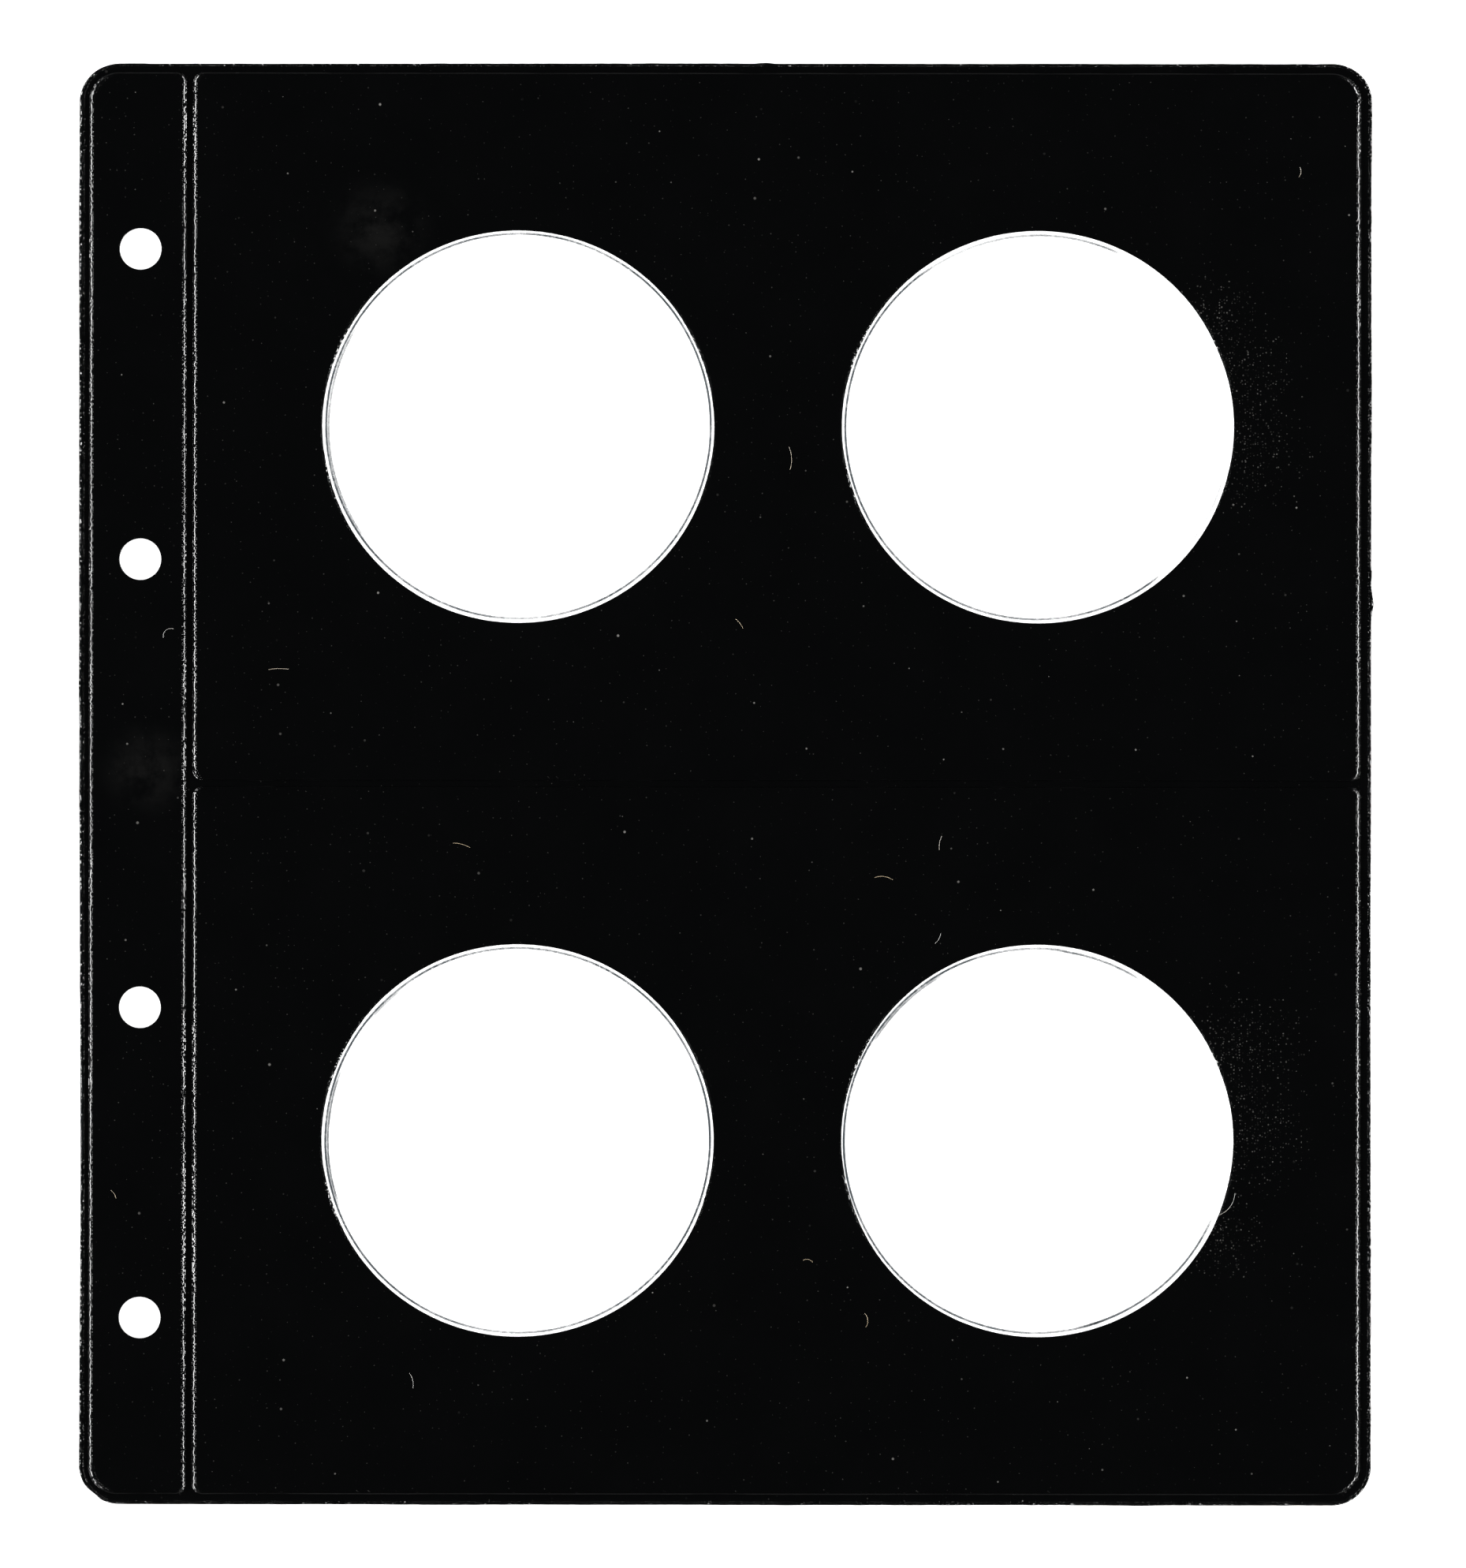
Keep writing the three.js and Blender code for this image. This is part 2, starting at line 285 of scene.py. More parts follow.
WINDOW_RADIUS = 28.45 * mm
WINDOW_STEPS = 540
WINDOW_PROFILE = [(0.25, 0), (0.07, -0.008), (0.09, -0.028), (0.146, -0.062), (0.004, -0.002)]
RIM_WIDTH = sum(run for run, rise in WINDOW_PROFILE[1:]) * mm
RING_HOLE_RADIUS = 3.01 * mm
RING_HOLE_STEPS = 72
RING_HOLE_PROFILE = [(0.2, 0), (0.06, -0.01), (0.04, -0.04)]


def round_openings(field):
    """The round openings of a field: centre, radius, steps and the profile of the edge."""
    if field is strip_field:
        return [(centre, RING_HOLE_RADIUS, RING_HOLE_STEPS, RING_HOLE_PROFILE) for centre in ring_holes]
    inside = [centre for centre in window_centres.values() if field.bottom < centre.y < field.top]
    return [(centre, WINDOW_RADIUS, WINDOW_STEPS, WINDOW_PROFILE) for centre in inside]


def pressed_edges():
    """The bead, the grooves and the flanks, open at the top of each field."""
    bm, face = area_face(PAGE, 0)
    press(bm, face, EDGE_PROFILE)
    take_out(bm, face)
    for field in FIELDS:
        part, face = area_face(grown(field, FLANK_START), WELD_HEIGHT)
        press(part, face, FLANK_PROFILE)
        take_out(part, face)
        add_to(bm, part)
    fill(bm, WELD_HEIGHT)
    return bm


def opening_edges(field):
    """The stepped edges of a field's round openings, down to the underside of the sheet."""
    bm = bmesh.new()
    for centre, radius, steps, profile in round_openings(field):
        rim = radius + sum(run for run, rise in profile) * mm
        part, face = disc_face(centre, rim, FACE_Z, steps)
        press(part, face, profile)
        take_out(part, face)
        draw_wall(part, FACE_Z + sum(rise for run, rise in profile) * mm, INNER_Z)
        add_to(bm, part)
    return bm


# %% [markdown]
# ## The seats of the flaps
#
# On the back, each pocket is loaded through a throat that a flap covers. The flap lies in a shallow seat of
# its own size, with the throat cut through the floor of the seat. The seat is one more inset face, and its
# floor is filled round the throat.

# %% Seat and throat on the back sheet
FLAP_RADIUS = 3 * mm
FLAP_CLEARANCE = 0.3 * mm
FLAP_THICKNESS = 0.3 * mm
SEAT_Z = half_thickness - FLAP_THICKNESS
PANEL_Z = SEAT_Z - SHEET
SEAT_PROFILE = [(0.02, -0.02), (0.03, -0.13), (0.03, -0.13), (0.02, -0.02)]
THROAT_HEIGHT = 5 * mm
THROAT_ROOT_INSET = 1.5 * mm
THROAT_END_INSET = 6 * mm
THROAT_RADIUS = 2.4 * mm


def flap_area(row_name):
    low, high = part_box(f"{row_name}_flap")
    return Area(low.x, high.x, low.y, high.y, [FLAP_RADIUS, FLAP_RADIUS, FLAP_CLEARANCE, FLAP_CLEARANCE])


def throat_face(row_name, z):
    flap = flap_area(row_name)
    top = flap.top - THROAT_ROOT_INSET
    area = Area(flap.left + THROAT_END_INSET, flap.right - THROAT_END_INSET, top - THROAT_HEIGHT, top,
                [THROAT_RADIUS] * 4)
    return area_face(area, z)


def flap_seat(row_name):
    """The wall and the floor of a seat, and the wall of its throat."""
    bm, face = area_face(grown(flap_area(row_name), FLAP_CLEARANCE), FACE_Z)
    press(bm, face, SEAT_PROFILE)
    take_out(bm, face)
    for wall in (False, True):
        throat, face = throat_face(row_name, SEAT_Z)
        take_out(throat, face)
        if wall:
            draw_wall(throat, SEAT_Z, PANEL_Z)
            add_to(bm, throat)
        else:
            add_to(bm, throat)
            fill(bm, SEAT_Z)
    return bm


def outer_skin(with_flap_seats):
    bm = pressed_edges()
    for field in FIELDS:
        add_to(bm, opening_edges(field))
    if with_flap_seats:
        for row_name in ROWS:
            add_to(bm, flap_seat(row_name))
    fill(bm, FACE_Z)
    return bm


# %% [markdown]
# ## The inner skin
#
# Between the welds the two sheets stand apart and leave the pockets. The inner skin is the hollow of each
# field. Both skins are open along the seam and round each opening, and merging the doubles there makes one
# closed sheet of real thickness.

# %% Hollows behind the fields, and the closed sheet
HOLLOW_INSET = SHEET
HOLLOW_RUN = SHEET / 2 + FLANK_RUN - HOLLOW_INSET


def hollow_behind_seat(row_name):
    bm, face = area_face(grown(flap_area(row_name), FLAP_CLEARANCE + SHEET), INNER_Z, COARSE_STEP)
    press(bm, face, [(0.05, (PANEL_Z - INNER_Z) / mm)])
    take_out(bm, face)
    throat, face = throat_face(row_name, PANEL_Z)
    take_out(throat, face)
    add_to(bm, throat)
    fill(bm, PANEL_Z)
    return bm


def inner_skin(with_flap_seats):
    bm, face = area_face(PAGE, 0)
    take_out(bm, face)
    for field in FIELDS:
        part, face = area_face(grown(field, -HOLLOW_INSET), 0, COARSE_STEP)
        press(part, face, [(HOLLOW_RUN / mm, INNER_Z / mm)])
        take_out(part, face)
        add_to(bm, part)
    fill(bm, 0)
    for field in FIELDS:
        for centre, radius, steps, profile in round_openings(field):
            part, face = disc_face(centre, radius, INNER_Z, steps)
            take_out(part, face)
            add_to(bm, part)
    if with_flap_seats:
        for row_name in ROWS:
            add_to(bm, hollow_behind_seat(row_name))
    fill(bm, INNER_Z)
    return bm


def closed_sheet(with_flap_seats):
    """A sheet lying face up, with the seam at height zero."""
    bm = outer_skin(with_flap_seats)
    add_to(bm, inner_skin(with_flap_seats))
    bmesh.ops.remove_doubles(bm, verts=bm.verts, dist=1e-6)
    bmesh.ops.recalc_face_normals(bm, faces=bm.faces)
    return bm


front_bm, back_bm = closed_sheet(False), closed_sheet(True)
for sheet_bm in (front_bm, back_bm):
    print("sheet of", len(sheet_bm.faces), "faces,",
          sum(1 for edge in sheet_bm.edges if not edge.is_manifold), "open edges")

# %% [markdown]
# ## Rows for the fold
#
# The binding groove bends when the leaf is turned. A flat floor can't bend without points across it, so a
# few bisect cuts lay rows of points along the groove, on both sheets.

# %% Cut rows across the binding groove
FOLD_ROWS = [-0.36, -0.27, -0.18, -0.09, 0, 0.09, 0.18, 0.27, 0.36]
for sheet_bm in (front_bm, back_bm):
    for offset in FOLD_ROWS:
        bmesh.ops.bisect_plane(sheet_bm, geom=sheet_bm.verts[:] + sheet_bm.edges[:] + sheet_bm.faces[:],
                               dist=TINY, plane_co=(fold_x + offset * mm, 0, 0), plane_no=(1, 0, 0))
print(len(FOLD_ROWS), "rows, from", FOLD_ROWS[0], "to", FOLD_ROWS[-1], "mm beside the fold")

# %% [markdown]
# ## Unevenness
#
# A heat-sealed page isn't exact. The trimmed edge wanders, with a burr or a nick here and there, the flanks
# wave along the weld, and the windows' edges are pulled into tiny scallops. Each is a small shift that only
# depends on where a point is, so the two sheets still meet along the seam. The same pass notes in an
# attribute which points the hot tool pressed, because their gloss differs.

# %% Shifts for edge, flank and window rim
def wander(x, y, period, seed):
    """Smooth noise from -1 to 1 that changes over about one period."""
    return noise.noise(Vector((x / period, y / period, seed)))


def waves(x, y, kinds):
    """Waves of several kinds added up, each a (height, period, seed), in millimetres."""
    return sum(height * wander(x, y, period * mm, seed) for height, period, seed in kinds)


def bump_at(x, y, place, reach):
    """1 at a place, falling to 0 over a reach."""
    share = math.hypot(x - place[0] * mm, y - place[1] * mm) / (reach * mm)
    return math.exp(-2 * share * share)


# Places along the edge in millimetres, with reach and height: first nubs of squeezed-out vinyl and a nick,
# then four long bows
EDGE_MARKS = [((93.5, 26.2), 2.2, 0.3), ((93.5, 30.5), 1.2, 0.1), ((-92.2, -103.4), 1.6, -0.28),
              ((5.5, 104.5), 1.5, 0.14), ((-93.5, 14), 2, 0.08), ((60, -104.5), 3, 0.1),
              ((-93.5, -55), 55, -0.26), ((-93.5, 78), 28, 0.12), ((93.5, -15), 60, -0.06),
              ((-75, 104.5), 50, -0.1)]
EDGE_WAVES = [(0.05, 17, 1), (0.03, 3.1, 2), (0.02, 1, 3)]
FLANK_WAVES = [(0.06, 9, 5), (0.02, 1.6, 6)]
# How much too wide each side was trimmed, in millimetres: left, right, lower, upper
TRIM = {(-1, 0): 0.45, (1, 0): 0.1, (0, -1): 0.12, (0, 1): -0.02}


def edge_shift(x, y, outward):
    """How far the trimmed edge stands out."""
    trim_x, trim_y = TRIM[1 if outward.x > 0 else -1, 0], TRIM[0, 1 if outward.y > 0 else -1]
    shift = trim_x * outward.x ** 2 + trim_y * outward.y ** 2
    shift += waves(x, y, EDGE_WAVES)
    return (shift + sum(height * bump_at(x, y, place, reach) for place, reach, height in EDGE_MARKS)) * mm


# How far outwards each long weld was pressed off its true line, in millimetres: strip and rows, left and
# right
WELD_DRIFT = {("strip", -1): 0.34, ("strip", 1): -0.24, ("row", -1): 0.2, ("row", 1): -0.2}


def flank_drift(field, outward):
    """The whole flank's shift, which counts along the page and not across it."""
    kind = "strip" if field is strip_field else "row"
    return WELD_DRIFT[kind, 1 if outward.x > 0 else -1] * abs(outward.x) * mm


def flank_shift(x, y):
    """The flank's own small waves."""
    return waves(x, y, FLANK_WAVES) * mm


# Where the rim of a window was melted round: middle and reach in degrees anticlockwise from the right, and
# amount
MELTED = [(24, 10, 0.75), (156, 14, 1), (197, 11, 1), (345, 8, 0.5)]


def melt_at(angle):
    """How far the rim of a window was melted round in one direction from its middle."""
    degrees = math.degrees(angle)
    turns = [((degrees - middle + 180) % 360 - 180, reach, amount) for middle, reach, amount in MELTED]
    return min(1.0, sum(amount * math.exp(-(turn / reach) ** 2) for turn, reach, amount in turns))


# %% Move the points and note what was pressed
EDGE_FADE = BEAD_WIDTH + 0.1 * mm
BEAD_WAVE = 0.03 * mm
BEAD_PERIOD = 1.1 * mm
WINDOW_SURROUND = 1 * mm
# The scallops of a firm rim, what melting adds to them, and how far it pulls the rim in, in millimetres
SCALLOP, MELTED_SCALLOP, MELTED_PULL = 0.02, 0.05, 0.13
SCALLOP_PERIOD = 0.6 * mm
# How much of the rim's step shows where nothing melted
FIRM_STEP = 0.3


def near_window(x, y):
    """The middle of the window that a point lies beside, and how far off that middle is."""
    for centre in window_centres.values():
        reach = math.hypot(x - centre.x, y - centre.y)
        if reach < WINDOW_RADIUS + WINDOW_SURROUND:
            return centre, reach
    return None, 0


def make_uneven(bm):
    """Shifts the points of a sheet, and returns how strongly each was pressed, and trimmed or melted."""
    marks = {"pressed": [], "trimmed": []}
    for vert in bm.verts:
        x, y, z = vert.co
        pressed = trimmed = 0.0
        page_depth, outward = depth_inside(PAGE, x, y)
        if page_depth < BEAD_WIDTH + EDGE_GROOVE / 2:
            fade = max(0.0, 1 - page_depth / EDGE_FADE)
            vert.co += outward * edge_shift(x, y, outward) * fade
            on_bead = page_depth < BEAD_WIDTH and z > TINY
            vert.co.z += BEAD_WAVE * wander(x, y, BEAD_PERIOD, 4) * on_bead
            trimmed = 1.0 if page_depth < BEAD_WIDTH - TINY else 0.0
        for field in FIELDS:
            depth, outward = depth_inside(field, x, y)
            if -TINY < depth < FLANK_RUN + TINY and z > WELD_HEIGHT - TINY:
                swell = math.sin(math.pi * min(1.0, max(0.0, depth / FLANK_RUN)))
                vert.co += outward * (flank_shift(x, y) * swell + flank_drift(field, outward))
                pressed = outward.x ** 2 if TINY < depth < FLANK_RUN - TINY else 0.0
        centre, reach = near_window(x, y)
        if centre and z > INNER_Z - TINY and reach < WINDOW_RADIUS + RIM_WIDTH - TINY:
            melted = melt_at(math.atan2(y - centre.y, x - centre.x))
            away = Vector((x - centre.x, y - centre.y, 0)).normalized()
            scallop = (SCALLOP + MELTED_SCALLOP * melted) * wander(x, y, SCALLOP_PERIOD, 7)
            vert.co += away * (scallop - MELTED_PULL * melted) * mm
            if z > INNER_Z + TINY:
                vert.co.z = FACE_Z + (z - FACE_Z) * (FIRM_STEP + (1 - FIRM_STEP) * melted)
                trimmed = melted
        marks["pressed"].append(pressed)
        marks["trimmed"].append(trimmed)
    return marks


front_marks, back_marks = make_uneven(front_bm), make_uneven(back_bm)
print(sum(mark > 0 for mark in front_marks["pressed"]), "points of the front sheet were pressed")

# %% [markdown]
# ## From mesh to piece
#
# The back sheet is the same sheet turned over. Scaling it by -1 in height turns its faces inside out, so its
# normals are recalculated.

# %% Make the two sheets
SHARP_ANGLE = math.radians(38)


def new_piece(name, bm, marks):
    """Makes an object at the origin from a finished mesh, with a named mark on each point."""
    mesh = bpy.data.meshes.new(name)
    bm.to_mesh(mesh)
    bm.free()
    mesh.shade_smooth()
    mesh.set_sharp_from_angle(angle=SHARP_ANGLE)
    for mark_name, values in marks.items():
        mesh.attributes.new(mark_name, "FLOAT", "POINT").data.foreach_set("value", values)
    piece = bpy.data.objects.new(name, mesh)
    bpy.context.scene.collection.objects.link(piece)
    triangles = sum(len(polygon.vertices) - 2 for polygon in mesh.polygons)
    print(name, "has", triangles, "triangles")
    return piece


def place_on_back(bm):
    """Turns a mesh made face up with the seam at zero over on to the back of the page."""
    bmesh.ops.scale(bm, vec=(1, 1, -1), verts=bm.verts)
    bmesh.ops.recalc_face_normals(bm, faces=bm.faces)
    bmesh.ops.translate(bm, verts=bm.verts, vec=(0, 0, seam_z))


bmesh.ops.translate(front_bm, verts=front_bm.verts, vec=(0, 0, seam_z))
place_on_back(back_bm)
front_sheet = new_piece("front_sheet", front_bm, front_marks)
back_sheet = new_piece("back_sheet", back_bm, back_marks)

# %% [markdown]
# ## Clear films
#
# Each window is glazed on both sides by a thin film, ring-welded to the underside of its sheet. Just inside
# the edge the weld leaves a narrow crease, and inside that the film stands up a little and is faintly
# crowned. That is a turned shape, so a profile is drawn from the middle out and spun round.
#
# The welding ring never lands quite in the middle, so each film has its own offset, and a list of strokes
# round the ring tells where the crease shows dark. The points of the crease carry the stroke's strength as an
# attribute, so that the material can roughen them and paint shade on them, standing in for the dark line that
# light bent by the crease gives.

# %% Profile of a film
FILM_THICKNESS = 0.2 * mm
FILM_STEPS = 320
# The radii and heights below are in millimetres
GLAZING_RADII = (0, 6, 12, 17, 21, 24, 26, 27.2)
GLAZING_HEIGHT = 0.3
CROWN_HEIGHT, CROWN_RADIUS = 0.06, 27.5
CREASE_RADIUS = 27.85
PROFILE_OF_CREASE = [(-0.21, 0.3, 0), (-0.09, 0.28, 1), (0.09, 0.22, 1), (0.21, 0.17, 0), (0.3, 0.175, 0)]
HELD_RADIUS = 28.4
HELD_HEIGHT = 0.2


def film_profile():
    """(radius, height of the middle of the film, crease) in millimetres, from the middle out."""
    glazing = [(radius, GLAZING_HEIGHT + CROWN_HEIGHT * (1 - (radius / CROWN_RADIUS) ** 2), 0)
               for radius in GLAZING_RADII]
    crease = [(CREASE_RADIUS + step, height, mark) for step, height, mark in PROFILE_OF_CREASE]
    return glazing + crease + [(HELD_RADIUS, HELD_HEIGHT, 0), (film_radius / mm, HELD_HEIGHT, 0)]


def half_film(profile, side):
    """One side of a film, drawn from the middle out and spun round."""
    bm = bmesh.new()
    verts = [bm.verts.new((radius * mm, 0, height * mm + side * FILM_THICKNESS / 2))
             for radius, height, mark in profile]
    edges = [bm.edges.new(pair) for pair in zip(verts, verts[1:])]
    bmesh.ops.spin(bm, geom=verts + edges, cent=(0, 0, 0), axis=(0, 0, 1), angle=math.tau, steps=FILM_STEPS,
                   use_merge=True)
    return bm


def spun_film():
    """A film round the origin, with the seam at height zero."""
    bm = half_film(film_profile(), 1)
    add_to(bm, half_film(film_profile(), -1))
    bmesh.ops.remove_doubles(bm, verts=bm.verts, dist=1e-6)
    rims = [edge for edge in bm.edges if edge.is_boundary]
    bmesh.ops.bridge_loops(bm, edges=rims)
    bmesh.ops.recalc_face_normals(bm, faces=bm.faces)
    return bm


# %% [markdown]
# A stroke runs from one angle to another, anticlockwise from the right, and fades in and out over a few
# degrees. A crease may also have a ring, a long faint stroke, whose painted shade is darkest where it faces
# left or right, towards the lamps.

# %% Where each film is creased
# Radius and offset in millimetres, the ring's two angles, and strokes of two angles and a strength of painted
# shade
Crease = namedtuple("Crease", "radius offset ring strokes")
FADE = 5
# Painted shade of the ring: a base strength and a gain towards the sides that face the lamps
RING_STRENGTH, LAMPWARD_SHADE_GAIN, RING_SHAPE = 0.74, 0.46, 0.7
FLICKER = 0.3
CREASE_WAVE = 0.035
CREASE_PERIOD = 9 * mm
RIPPLE_HEIGHT = 0.02 * mm
RIPPLE_PERIOD = 13 * mm
# A film gives way between its held rim and its middle, and comes fully free over these lengths
FREE_FROM_RIM = 0.3 * mm
FREE_FROM_MIDDLE = 20 * mm
CREASES = {
    ("top", "left"): (Crease(27.89, (0.04, 0.07), (0, 360), [(-14, 8, 0.95)]),
                      Crease(27.84, (0.33, 0), None, [(152, 212, 0.8)])),
    ("top", "right"): (Crease(27.85, (-0.09, -0.03), (128, 306), [(67, 89, 0.85), (216, 276, 0.9)]),
                       Crease(27.8, (0.02, -0.02), None, [(92, 126, 0.6), (322, 342, 0.4)])),
    ("bottom", "left"): (Crease(27.89, (0.02, 0.03), (0, 360), [(-10, 14, 0.85)]),
                         Crease(27.82, (0.3, 0), None, [(131, 138, 0.6), (162, 197, 0.9)])),
    ("bottom", "right"): (Crease(27.87, (-0.19, 0.03), (84, 288), [(233, 246, 0.8)]),
                          Crease(27.72, (0, 0), None, [(61, 81, 0.95), (123, 146, 0.85), (286, 333, 1.15)]))}


def stroke_at(angle, first, last):
    """1 between two angles in degrees, falling to 0 just outside them."""
    inside = (angle - first) % 360
    beyond = min(inside - (last - first), 360 - inside) if inside > last - first else 0
    return max(0.0, 1 - beyond / FADE)


def shade_and_frost_strength(crease, angle, seed):
    """How strongly a film's crease is roughened and painted with shade in one direction from its middle."""
    degrees = math.degrees(angle)
    flicker = 1 + FLICKER * wander(math.cos(angle), math.sin(angle), 0.3, seed)
    strengths = [strength * stroke_at(degrees, first, last) for first, last, strength in crease.strokes]
    # The ring's painted shade is darkest where it faces the lamps at left and right
    if crease.ring:
        gain = LAMPWARD_SHADE_GAIN * abs(math.cos(angle)) ** RING_SHAPE
        strengths.append((RING_STRENGTH + gain) * stroke_at(degrees, *crease.ring))
    return max(strengths) * flicker


def crease_film(bm, crease, seed):
    """Moves the ring of a film to its place and returns how strongly each point is roughened and shaded."""
    marks = []
    for vert in bm.verts:
        reach, angle = math.hypot(vert.co.x, vert.co.y), math.atan2(vert.co.y, vert.co.x)
        on_ring = max((mark for step, height, mark in PROFILE_OF_CREASE
                       if abs(CREASE_RADIUS + step - reach / mm) < 0.02), default=0)
        marks.append(on_ring * shade_and_frost_strength(crease, angle, seed))
        free = min(1.0, max(0.0, (HELD_RADIUS * mm - reach) / FREE_FROM_RIM))
        free *= min(1.0, reach / FREE_FROM_MIDDLE)
        outward = Vector((math.cos(angle), math.sin(angle), 0))
        wave = CREASE_WAVE * wander(vert.co.x, vert.co.y, CREASE_PERIOD, seed)
        shift = crease.radius - CREASE_RADIUS + wave
        vert.co += (outward * shift + Vector((*crease.offset, 0))) * mm * free
        vert.co.z += RIPPLE_HEIGHT * wander(vert.co.x, vert.co.y, RIPPLE_PERIOD, seed + 9) * free
    return marks


# %% Spin the eight films
films = {}
for number, (window, centre) in enumerate(window_centres.items()):
    for face_name, crease in zip(("front", "back"), CREASES[window]):
        film_bm = spun_film()
        marks = crease_film(film_bm, crease, 10 * number + len(face_name))
        bmesh.ops.translate(film_bm, verts=film_bm.verts, vec=(centre.x, centre.y, 0))
        if face_name == "front":
            bmesh.ops.translate(film_bm, verts=film_bm.verts, vec=(0, 0, seam_z))
        else:
            place_on_back(film_bm)
        film_name = f"{face_name}_film_{window[0]}_{window[1]}"
        films[film_name] = new_piece(f"{film_name}_glazing", film_bm, {"crease": marks})
print(len(films), "films, welded", round((film_radius - WINDOW_RADIUS) / mm, 2), "mm beyond the windows")

# %% [markdown]
# ## Flaps
#
# A flap is a strip of the same vinyl. It hangs on a thin web along its root, which is the crease that bends
# when the flap lifts. The flap is an inset face with a rounded upper edge, and the web is a narrow grid,
# drawn to a thickness, with rows of points for the bend.

# %% Flap and web
FLAP_EDGE_PROFILE = [(0, 0.25), (0.02, 0.035), (0.05, 0.015), (0.3, 0)]
FLAP_STEP = 1 * mm
WEB_THICKNESS = 0.1 * mm
WEB_RECESS = 0.02 * mm
WEB_COLUMNS, WEB_ROWS = 60, 6


def root_web(flap):
    """The crease that joins the flap's root to the edge of its seat."""
    bm = bmesh.new()
    low_y, high_y = flap.top - 0.08 * mm, flap.top + FLAP_CLEARANCE
    bmesh.ops.create_grid(bm, x_segments=WEB_COLUMNS, y_segments=WEB_ROWS, size=0.5)
    bmesh.ops.scale(bm, verts=bm.verts, vec=(flap.right - flap.left - 2 * FLAP_RADIUS, high_y - low_y, 1))
    bmesh.ops.translate(bm, verts=bm.verts, vec=((flap.left + flap.right) / 2, (low_y + high_y) / 2,
                                                FACE_Z - WEB_THICKNESS - WEB_RECESS))
    drawn = bmesh.ops.extrude_face_region(bm, geom=bm.faces[:], use_keep_orig=True)["geom"]
    verts = [item for item in drawn if isinstance(item, bmesh.types.BMVert)]
    bmesh.ops.translate(bm, verts=verts, vec=(0, 0, WEB_THICKNESS))
    bmesh.ops.recalc_face_normals(bm, faces=bm.faces)
    return bm


flaps = {}
for row_name in ROWS:
    flap = flap_area(row_name)
    flap_bm, face = area_face(flap, SEAT_Z, FLAP_STEP)
    press(flap_bm, face, FLAP_EDGE_PROFILE)
    fill(flap_bm, SEAT_Z)
    bmesh.ops.recalc_face_normals(flap_bm, faces=flap_bm.faces)
    add_to(flap_bm, root_web(flap))
    place_on_back(flap_bm)
    flaps[row_name] = new_piece(f"{row_name}_flap_sheet", flap_bm, {})

# %% [markdown]
# ## Lint
#
# Black vinyl holds lint, and a few light fibres lie on the front. A fibre is drawn like a turtle walks: a
# small ring is extruded forward, turned a little, and extruded again. One mesh holds them all, with few
# faces each.

# %% Fibres on the front
# Start in millimetres, heading in degrees, length in millimetres, and bend in degrees along the whole length
FIBRES = [((9.2, 45.6), 75, 3.4, 40), ((2.4, 22.5), 115, 1.8, 25), ((21.5, -13.6), 20, 2.8, -60),
          ((20.3, -78.8), 60, 2.2, 80), ((-37.2, -9.3), 150, 2.6, 35), ((30.9, -9.6), 95, 2.1, -30),
          ((30.3, -23.1), 40, 1.7, 50), ((-80.2, 22.4), 170, 2.4, 120), ((-66.4, 16.5), 10, 2.9, -20),
          ((12.6, -69.4), 130, 1.6, 90), ((-45.4, -87.7), 80, 2.3, 45), ((71.5, -62.5), 25, 4.2, 70),
          ((-54.6, 43.3), 5, 2.2, 15), ((83.0, 88.1), 60, 1.5, 60), ((-88.5, -60.2), 100, 1.4, 45)]
FIBRE_RADIUS = 0.026 * mm
FIBRE_LIFT = -0.4 * FIBRE_RADIUS
FIBRE_PARTS = 9
CURL = 0.6
CURL_PERIOD = 0.5 * mm


def fibre(start, heading, length, bend):
    """One fibre, sunk a little into the face so that it lies on it all along."""
    bm = bmesh.new()
    bmesh.ops.create_circle(bm, cap_ends=True, radius=FIBRE_RADIUS, segments=6)
    bmesh.ops.rotate(bm, verts=bm.verts, matrix=Matrix.Rotation(math.radians(90), 3, "Y"))
    bmesh.ops.rotate(bm, verts=bm.verts, matrix=Matrix.Rotation(math.radians(heading), 3, "Z"))
    middle = Vector((start[0] * mm, start[1] * mm, cad_high.z + FIBRE_LIFT))
    bmesh.ops.translate(bm, verts=bm.verts, vec=middle)
    ring = bm.edges[:]
    for part in range(FIBRE_PARTS):
        forward = Vector((math.cos(math.radians(heading)), math.sin(math.radians(heading)), 0))
        step = forward * length * mm / FIBRE_PARTS
        drawn = bmesh.ops.extrude_edge_only(bm, edges=ring)["geom"]
        verts = [item for item in drawn if isinstance(item, bmesh.types.BMVert)]
        ring = [item for item in drawn if isinstance(item, bmesh.types.BMEdge)]
        middle = middle + step
        bmesh.ops.translate(bm, verts=verts, vec=step)
        turn = bend / FIBRE_PARTS * (1 + CURL * wander(middle.x, middle.y, CURL_PERIOD, 8))
        bmesh.ops.rotate(bm, verts=verts, cent=middle, matrix=Matrix.Rotation(math.radians(turn), 3, "Z"))
        heading += turn
    bmesh.ops.holes_fill(bm, edges=ring, sides=0)
    bmesh.ops.recalc_face_normals(bm, faces=bm.faces)
    return bm


lint_bm = bmesh.new()
for fibre_facts in FIBRES:
    add_to(lint_bm, fibre(*fibre_facts))
lint = new_piece("lint_fibres", lint_bm, {})

# %% [markdown]
# ## Which piece moves with what
#
# The sheets run unbroken over the fold, and each flap hangs on its web. Here they take the place of the
# imported pieces where they lie. Films and lint simply ride the leaf.

# %% Bodies and replaced nodes
for piece, nodes in ((front_sheet, ["strip_front_sheet", "leaf_front_sheet"]),
                     (back_sheet, ["strip_back_sheet", "leaf_back_sheet", "binding_weld"])):
    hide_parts(*nodes)
    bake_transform(piece)

